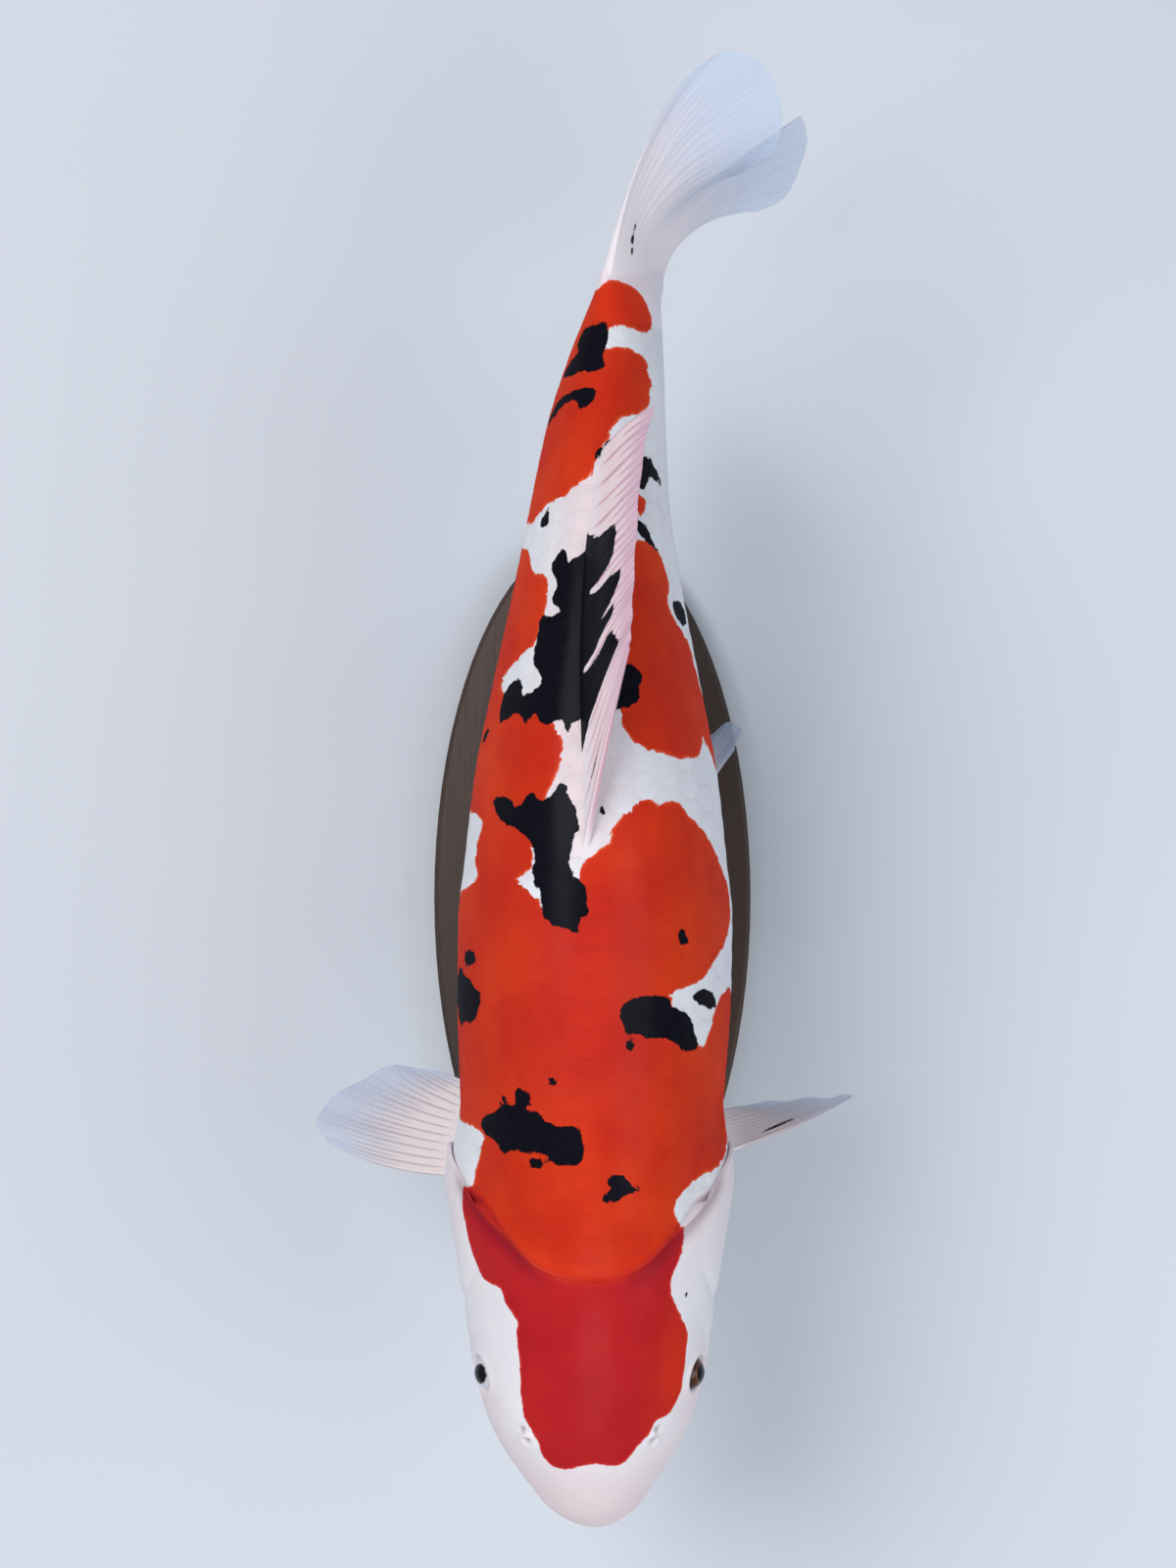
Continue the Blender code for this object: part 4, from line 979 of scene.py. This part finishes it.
fin("fin_dorsal", "dorsal_fin",
    root=((0, (-3.4, 24, 80)), (0.4, (-3.6, 92, 73)), (0.7, (-2.6, 142, 62)), (1, (2.4, 191, 48))),
    bend=((0, (3, 62, 101)), (0.4, (3.5, 110, 93)), (0.7, (6, 150, 83)), (1, (12, 202, 66))),
    tip=((0, (14.2, 108, 101)), (0.2, (15, 115, 100)), (0.41, (15.8, 129, 96)),
         (0.66, (17.5, 158, 88)), (0.85, (20, 186, 78)), (1, (25, 209, 65))),
    rays=19, size=(170, 55), thick=(4.5, 0.5, 0.2), leading=0.9, flesh=0.5,
    mat=fin_material("koi_fin_dorsal", (0.80, 0.64, 0.66, 1), (0.74, 0.50, 0.60, 1),
                     (0.50, 0.20, 0.30, 1), 0.62, 0.55, 0.10),
    black=(((0.27, -0.1), (0.28, 0.25), (0.295, 0.6), (0.315, 0.8), (0.335, 0.74), (0.37, 0.7),
            (0.405, 0.64), (0.415, 0.4), (0.43, 0.1), (0.445, 0.35), (0.455, 0.6), (0.49, 0.64),
            (0.5, 0.42), (0.515, 0.55), (0.54, 0.72), (0.575, 0.76), (0.595, 0.6), (0.6, 0.35),
            (0.62, 0.18), (0.635, 0.4), (0.65, 0.56), (0.68, 0.6), (0.72, 0.62), (0.745, 0.5),
            (0.755, 0.2), (0.76, -0.1)),
           # The second outline is a painted shadow line beside the first ray, drawn in the black.
           ((0.1, 0.02), (0.112, 0.22), (0.122, 0.44), (0.13, 0.66), (0.118, 0.44), (0.104, 0.2))))
PAIRED_FIN = fin_material("koi_fin_paired", (0.80, 0.70, 0.68, 1), (0.58, 0.66, 0.80, 1),
                          (0.38, 0.31, 0.37, 1), 0.60, 0.42, 0.38)
fin("fin_anal", "anal_fin",
    root=((0, (6, 160, -48)), (0.5, (6.6, 178, -43)), (1, (7.2, 197, -37))),
    bend=((0, (9, 180, -76)), (0.5, (9.5, 198, -64)), (1, (9, 210, -50))),
    tip=((0, (11.5, 203, -98)), (0.15, (12, 212, -101)), (0.4, (12.3, 222, -91)),
         (0.7, (11.5, 226, -74)), (1, (10.5, 222, -56))), rays=8, size=(45, 60), mat=PAIRED_FIN)
fin("fin_caudal", "caudal_fin",
    root=((0, (5.0, 267, 25.3)), (0.5, (16.7, 269, 0.7)), (1, (28.4, 267, -24.3))),
    bend=((0, (20, 336, 46.5)), (0.25, (22, 322, 29)), (0.5, (27, 306, 1)),
          (0.75, (32, 305, -28)), (1, (34, 307, -42))),
    tip=((0, (47, 354, 47)), (0.07, (57, 358.3, 47)), (0.14, (66, 356.3, 46)),
         (0.22, (74.5, 348, 43)), (0.3, (79.5, 333, 35)), (0.4, (75, 319, 20)),
         (0.48, (62, 315, 4)), (0.55, (70, 324, -8)), (0.6, (82, 339, -20)),
         (0.68, (91.7, 347.5, -32)), (0.77, (95, 339.5, -42)), (0.86, (92.3, 328, -48)),
         (0.94, (85, 315, -51)), (1, (73.8, 309, -51))),
    rays=20, size=(90, 90), thick=(12.5, 0.6, 0.07), rows=60, wave=0.25, flesh=0.4,
    mat=fin_material("koi_fin_tail", (0.80, 0.75, 0.79, 1), (0.58, 0.67, 0.82, 1),
                     (0.44, 0.38, 0.50, 1), 0.24, 0.26, 0.40, 1.5),
    black=(((0.212, 0.112), (0.236, 0.108), (0.25, 0.122), (0.24, 0.136), (0.218, 0.131)),
           ((0.19, 0.149), (0.222, 0.144), (0.24, 0.162), (0.228, 0.181), (0.198, 0.174)),
           ((0.19, 0.198), (0.212, 0.194), (0.23, 0.207), (0.22, 0.22), (0.198, 0.215))))
fin("fin_pectoral_right", "pectoral_fin_right",
    root=((0, (-45, -116, -28)), (1, (-43, -84, -42))),
    bend=((0, (-86, -122, -44)), (0.5, (-80, -98, -58)), (1, (-57, -78, -60))),
    tip=((0, (-119, -106, -62)), (0.2, (-124.6, -97.5, -66)), (0.4, (-120, -89, -71)),
         (0.6, (-106, -80, -76)), (0.8, (-89, -73, -78)), (1, (-67.5, -75, -70))),
    rays=12, size=(60, 85), thick=(6.5, 0.5, 0.32), leading=0.5, flesh=0.3, bare=0.16,
    mat=PAIRED_FIN)
fin("fin_pectoral_left", "pectoral_fin_left",
    root=((0, (45, -111, -30)), (1, (43, -90, -43))),
    bend=((0, (87, -101, -48)), (0.5, (80, -97, -63)), (1, (60, -92, -68))),
    tip=((0, (115, -86, -58)), (0.2, (117.7, -85, -66)), (0.5, (107, -88, -83)),
         (0.75, (90, -90, -92)), (1, (71.6, -91.5, -86))),
    rays=12, size=(45, 85), thick=(6.5, 0.5, 0.32), leading=0.5, flesh=0.3, bare=0.16,
    mat=PAIRED_FIN,
    black=(((0.15, 0.38), (0.19, 0.42), (0.235, 0.5), (0.25, 0.6), (0.2, 0.54), (0.16, 0.46)),))
PELVIC = {"rays": 9, "bare": 0.1, "size": (30, 60), "thick": (5, 0.5, 0.2), "mat": PAIRED_FIN}
PELVIC_BEND = ((51, 50, -77), (36, 57, -86))
PELVIC_TIP = ((0, (60, 65, -88)), (0.12, (65.5, 72, -92)), (0.28, (68.5, 80, -98)),
              (0.5, (63, 83, -106)), (0.8, (51, 74, -111)), (1, (42, 66, -107)))
for side, label, drawn_in in ((1, "left", (0, 0)), (-1, "right", (0.15, 0.33))):
    fin("fin_pelvic_" + label, "pelvic_fin_" + label,
        root=((0, (side * 31, 18, -56)), (1, (side * 24, 36, -58))),
        bend=[(share, (side * x * (1 - drawn_in[0]), y, z)) for share, (x, y, z)
              in enumerate(PELVIC_BEND)],
        tip=[(share, (side * x * (1 - drawn_in[1]), y, z)) for share, (x, y, z) in PELVIC_TIP],
        **PELVIC)


# The barbels: four soft feelers of bare skin, two small ones on the upper lip and two longer ones
# at the mouth's corners, each growing out of the lip on a thick root.
BARBEL_RINGS, BARBEL_SPOKES = 26, 20


def barbel(label, along, turn, length, thick, mat):
    share = np.linspace(0, 1, BARBEL_RINGS)
    line = body_point(along + 0.62 * length * share, turn + 0 * share,
                      -2.8 + (1.9 + 0.24 * length) * share ** 0.45, head=True)
    line[:, 2] -= 0.62 * length * share ** 1.25 * MM
    ahead = np.gradient(line, axis=0)
    ahead /= np.linalg.norm(ahead, axis=1, keepdims=True)
    level = np.cross(ahead, (0, 0, 1))
    level /= np.linalg.norm(level, axis=1, keepdims=True)
    upright = np.cross(level, ahead)
    radius = thick / 2 * MM * (1 - 0.62 * share) * (1 + 0.8 * hump(share, 0.13))
    radius = radius * np.sqrt(np.clip(1.0 - share ** 14, 0.02, 1)) * (1 + 0.04 * np.sin(share * 60))
    angle = np.linspace(0, 2 * math.pi, BARBEL_SPOKES, endpoint=False)[None, :, None]
    rings = line[:, None] + radius[:, None, None] * (level[:, None] * np.cos(angle)
                                                     + upright[:, None] * np.sin(angle))
    points = np.vstack([rings.reshape(-1, 3), line[:1], line[-1:] + ahead[-1:] * 0.1 * MM])
    blush = np.append(np.repeat(0.85 - 0.5 * share, BARBEL_SPOKES), (0.85, 0.35))
    far = np.full(len(points), -EDGE_REACH)
    values = dict.fromkeys(DEPTHS, far * 0) | {"red_depth": far, "black_depth": far,
                                               "head": far * 0 + 1, "blush": blush}
    piece = new_piece("feeler_" + label, points, ring_faces(BARBEL_RINGS, BARBEL_SPOKES), values,
                      sharp=180)
    piece.data.materials.append(mat)
    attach(piece, "root")
    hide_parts("barbel_" + label)


FEELER_SKIN = patterned_skin("koi_feeler", 0.2)
for side, label in ((1, "left"), (-1, "right")):
    barbel("front_" + label, 12, side * 104, 12, 2.2, FEELER_SKIN)
    barbel("rear_" + label, 25, side * 116, 24, 2.8, FEELER_SKIN)


# The stand: an oval base of dark oiled walnut with an eased edge, and two brushed steel rods let
# into it and into the belly.
def walnut():
    mat, tree, shader = new_material("oiled_walnut")
    broad, lines = grain(tree, 9, 3, (1, 0.18, 1)), grain(tree, 160, 4, (1, 0.05, 1))
    pores = grain(tree, 900, 2, (1, 0.06, 1))
    colour = blend(step_up(broad, 0.35, 0.68), (0.030, 0.014, 0.008, 1), (0.085, 0.041, 0.020, 1))
    colour = blend(step_up(lines, 0.45, 0.7, 0.0, 0.55), colour, (0.020, 0.009, 0.005, 1))
    colour = blend(step_up(pores, 0.62, 0.72, 0.0, 0.5), colour, (0.008, 0.004, 0.002, 1))
    feed(shader, {"Base Color": colour, "Roughness": step_up(lines, 0.3, 0.8, 0.32, 0.46),
                  "Normal": bump(lines + pores, 0.15)})
    return mat


def brushed_steel():
    mat, tree, shader = new_material("brushed_steel")
    brushing = grain(tree, 1400, 3, (1, 1, 0.03))
    feed(shader, {"Base Color": blend(brushing, (0.52, 0.53, 0.55, 1), (0.68, 0.69, 0.70, 1)),
                  "Roughness": step_up(brushing, 0.3, 0.7, 0.24, 0.40),
                  "Normal": bump(brushing, 0.1, 0.0001), "Metallic": 1.0})
    return mat


STEEL = brushed_steel()
for node, mat in (("stand_base", walnut()), ("stand_rod_front", STEEL), ("stand_rod_rear", STEEL)):
    for material_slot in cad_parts[node].material_slots:
        material_slot.material = mat


# The setting: a plain pale floor, soft studio light from above, and the camera over the fish.
CAMERA_X, CAMERA_Y = -0.0021, 0.0546
CAMERA_ABOVE, FRAME_HEIGHT = 1.35, 0.672     # over the body's middle line; seen at that distance


def soft_light(name, place, aim, size, power, colour=(1, 1, 1)):
    lamp = bpy.data.lights.new(name, "AREA")
    lamp.shape, lamp.size, lamp.energy, lamp.color = "DISK", size, power, colour
    holder = bpy.data.objects.new(name, lamp)
    holder.location = place
    holder.rotation_euler = (Vector(aim) - Vector(place)).to_track_quat("-Z", "Y").to_euler()
    bpy.context.scene.collection.objects.link(holder)


def pale_floor():
    floor = new_piece("studio_floor", [(-8, -8, 0), (8, -8, 0), (8, 8, 0), (-8, 8, 0)],
                      [(0, 1, 2, 3)])
    mat, tree, shader = new_material("pale_floor")
    tone = blend(grain(tree, 3), (0.62, 0.65, 0.70, 1), (0.66, 0.69, 0.73, 1))
    feed(shader, {"Base Color": tone, "Roughness": 0.85})
    floor.data.materials.append(mat)


def camera():
    eye = bpy.data.cameras.new("camera")
    eye.sensor_fit, eye.sensor_height = "VERTICAL", 24
    eye.lens = 24 / 2 / (FRAME_HEIGHT / 2 / CAMERA_ABOVE)
    eye.clip_start = 0.05
    holder = bpy.data.objects.new("camera", eye)
    holder.location = (CAMERA_X, CAMERA_Y, AXIS_Z * MM + CAMERA_ABOVE)
    bpy.context.scene.collection.objects.link(holder)
    bpy.context.scene.camera = holder


pale_floor()
soft_light("key_light", (-0.9, 0.5, 1.9), (0, 0, 0.15), 1.3, 26)
soft_light("fill_light", (1.2, -0.3, 1.5), (0, 0, 0.15), 1.4, 11, (0.92, 0.96, 1))
soft_light("head_light", (0.1, -1.4, 1.3), (0, -0.1, 0.15), 1.0, 7)
world = bpy.data.worlds.new("studio")
world.use_nodes = True
world.node_tree.nodes["Background"].inputs[0].default_value = (0.80, 0.87, 1, 1)
world.node_tree.nodes["Background"].inputs[1].default_value = 0.35
bpy.context.scene.world = world
bpy.context.scene.view_settings.view_transform = "Standard"
camera()
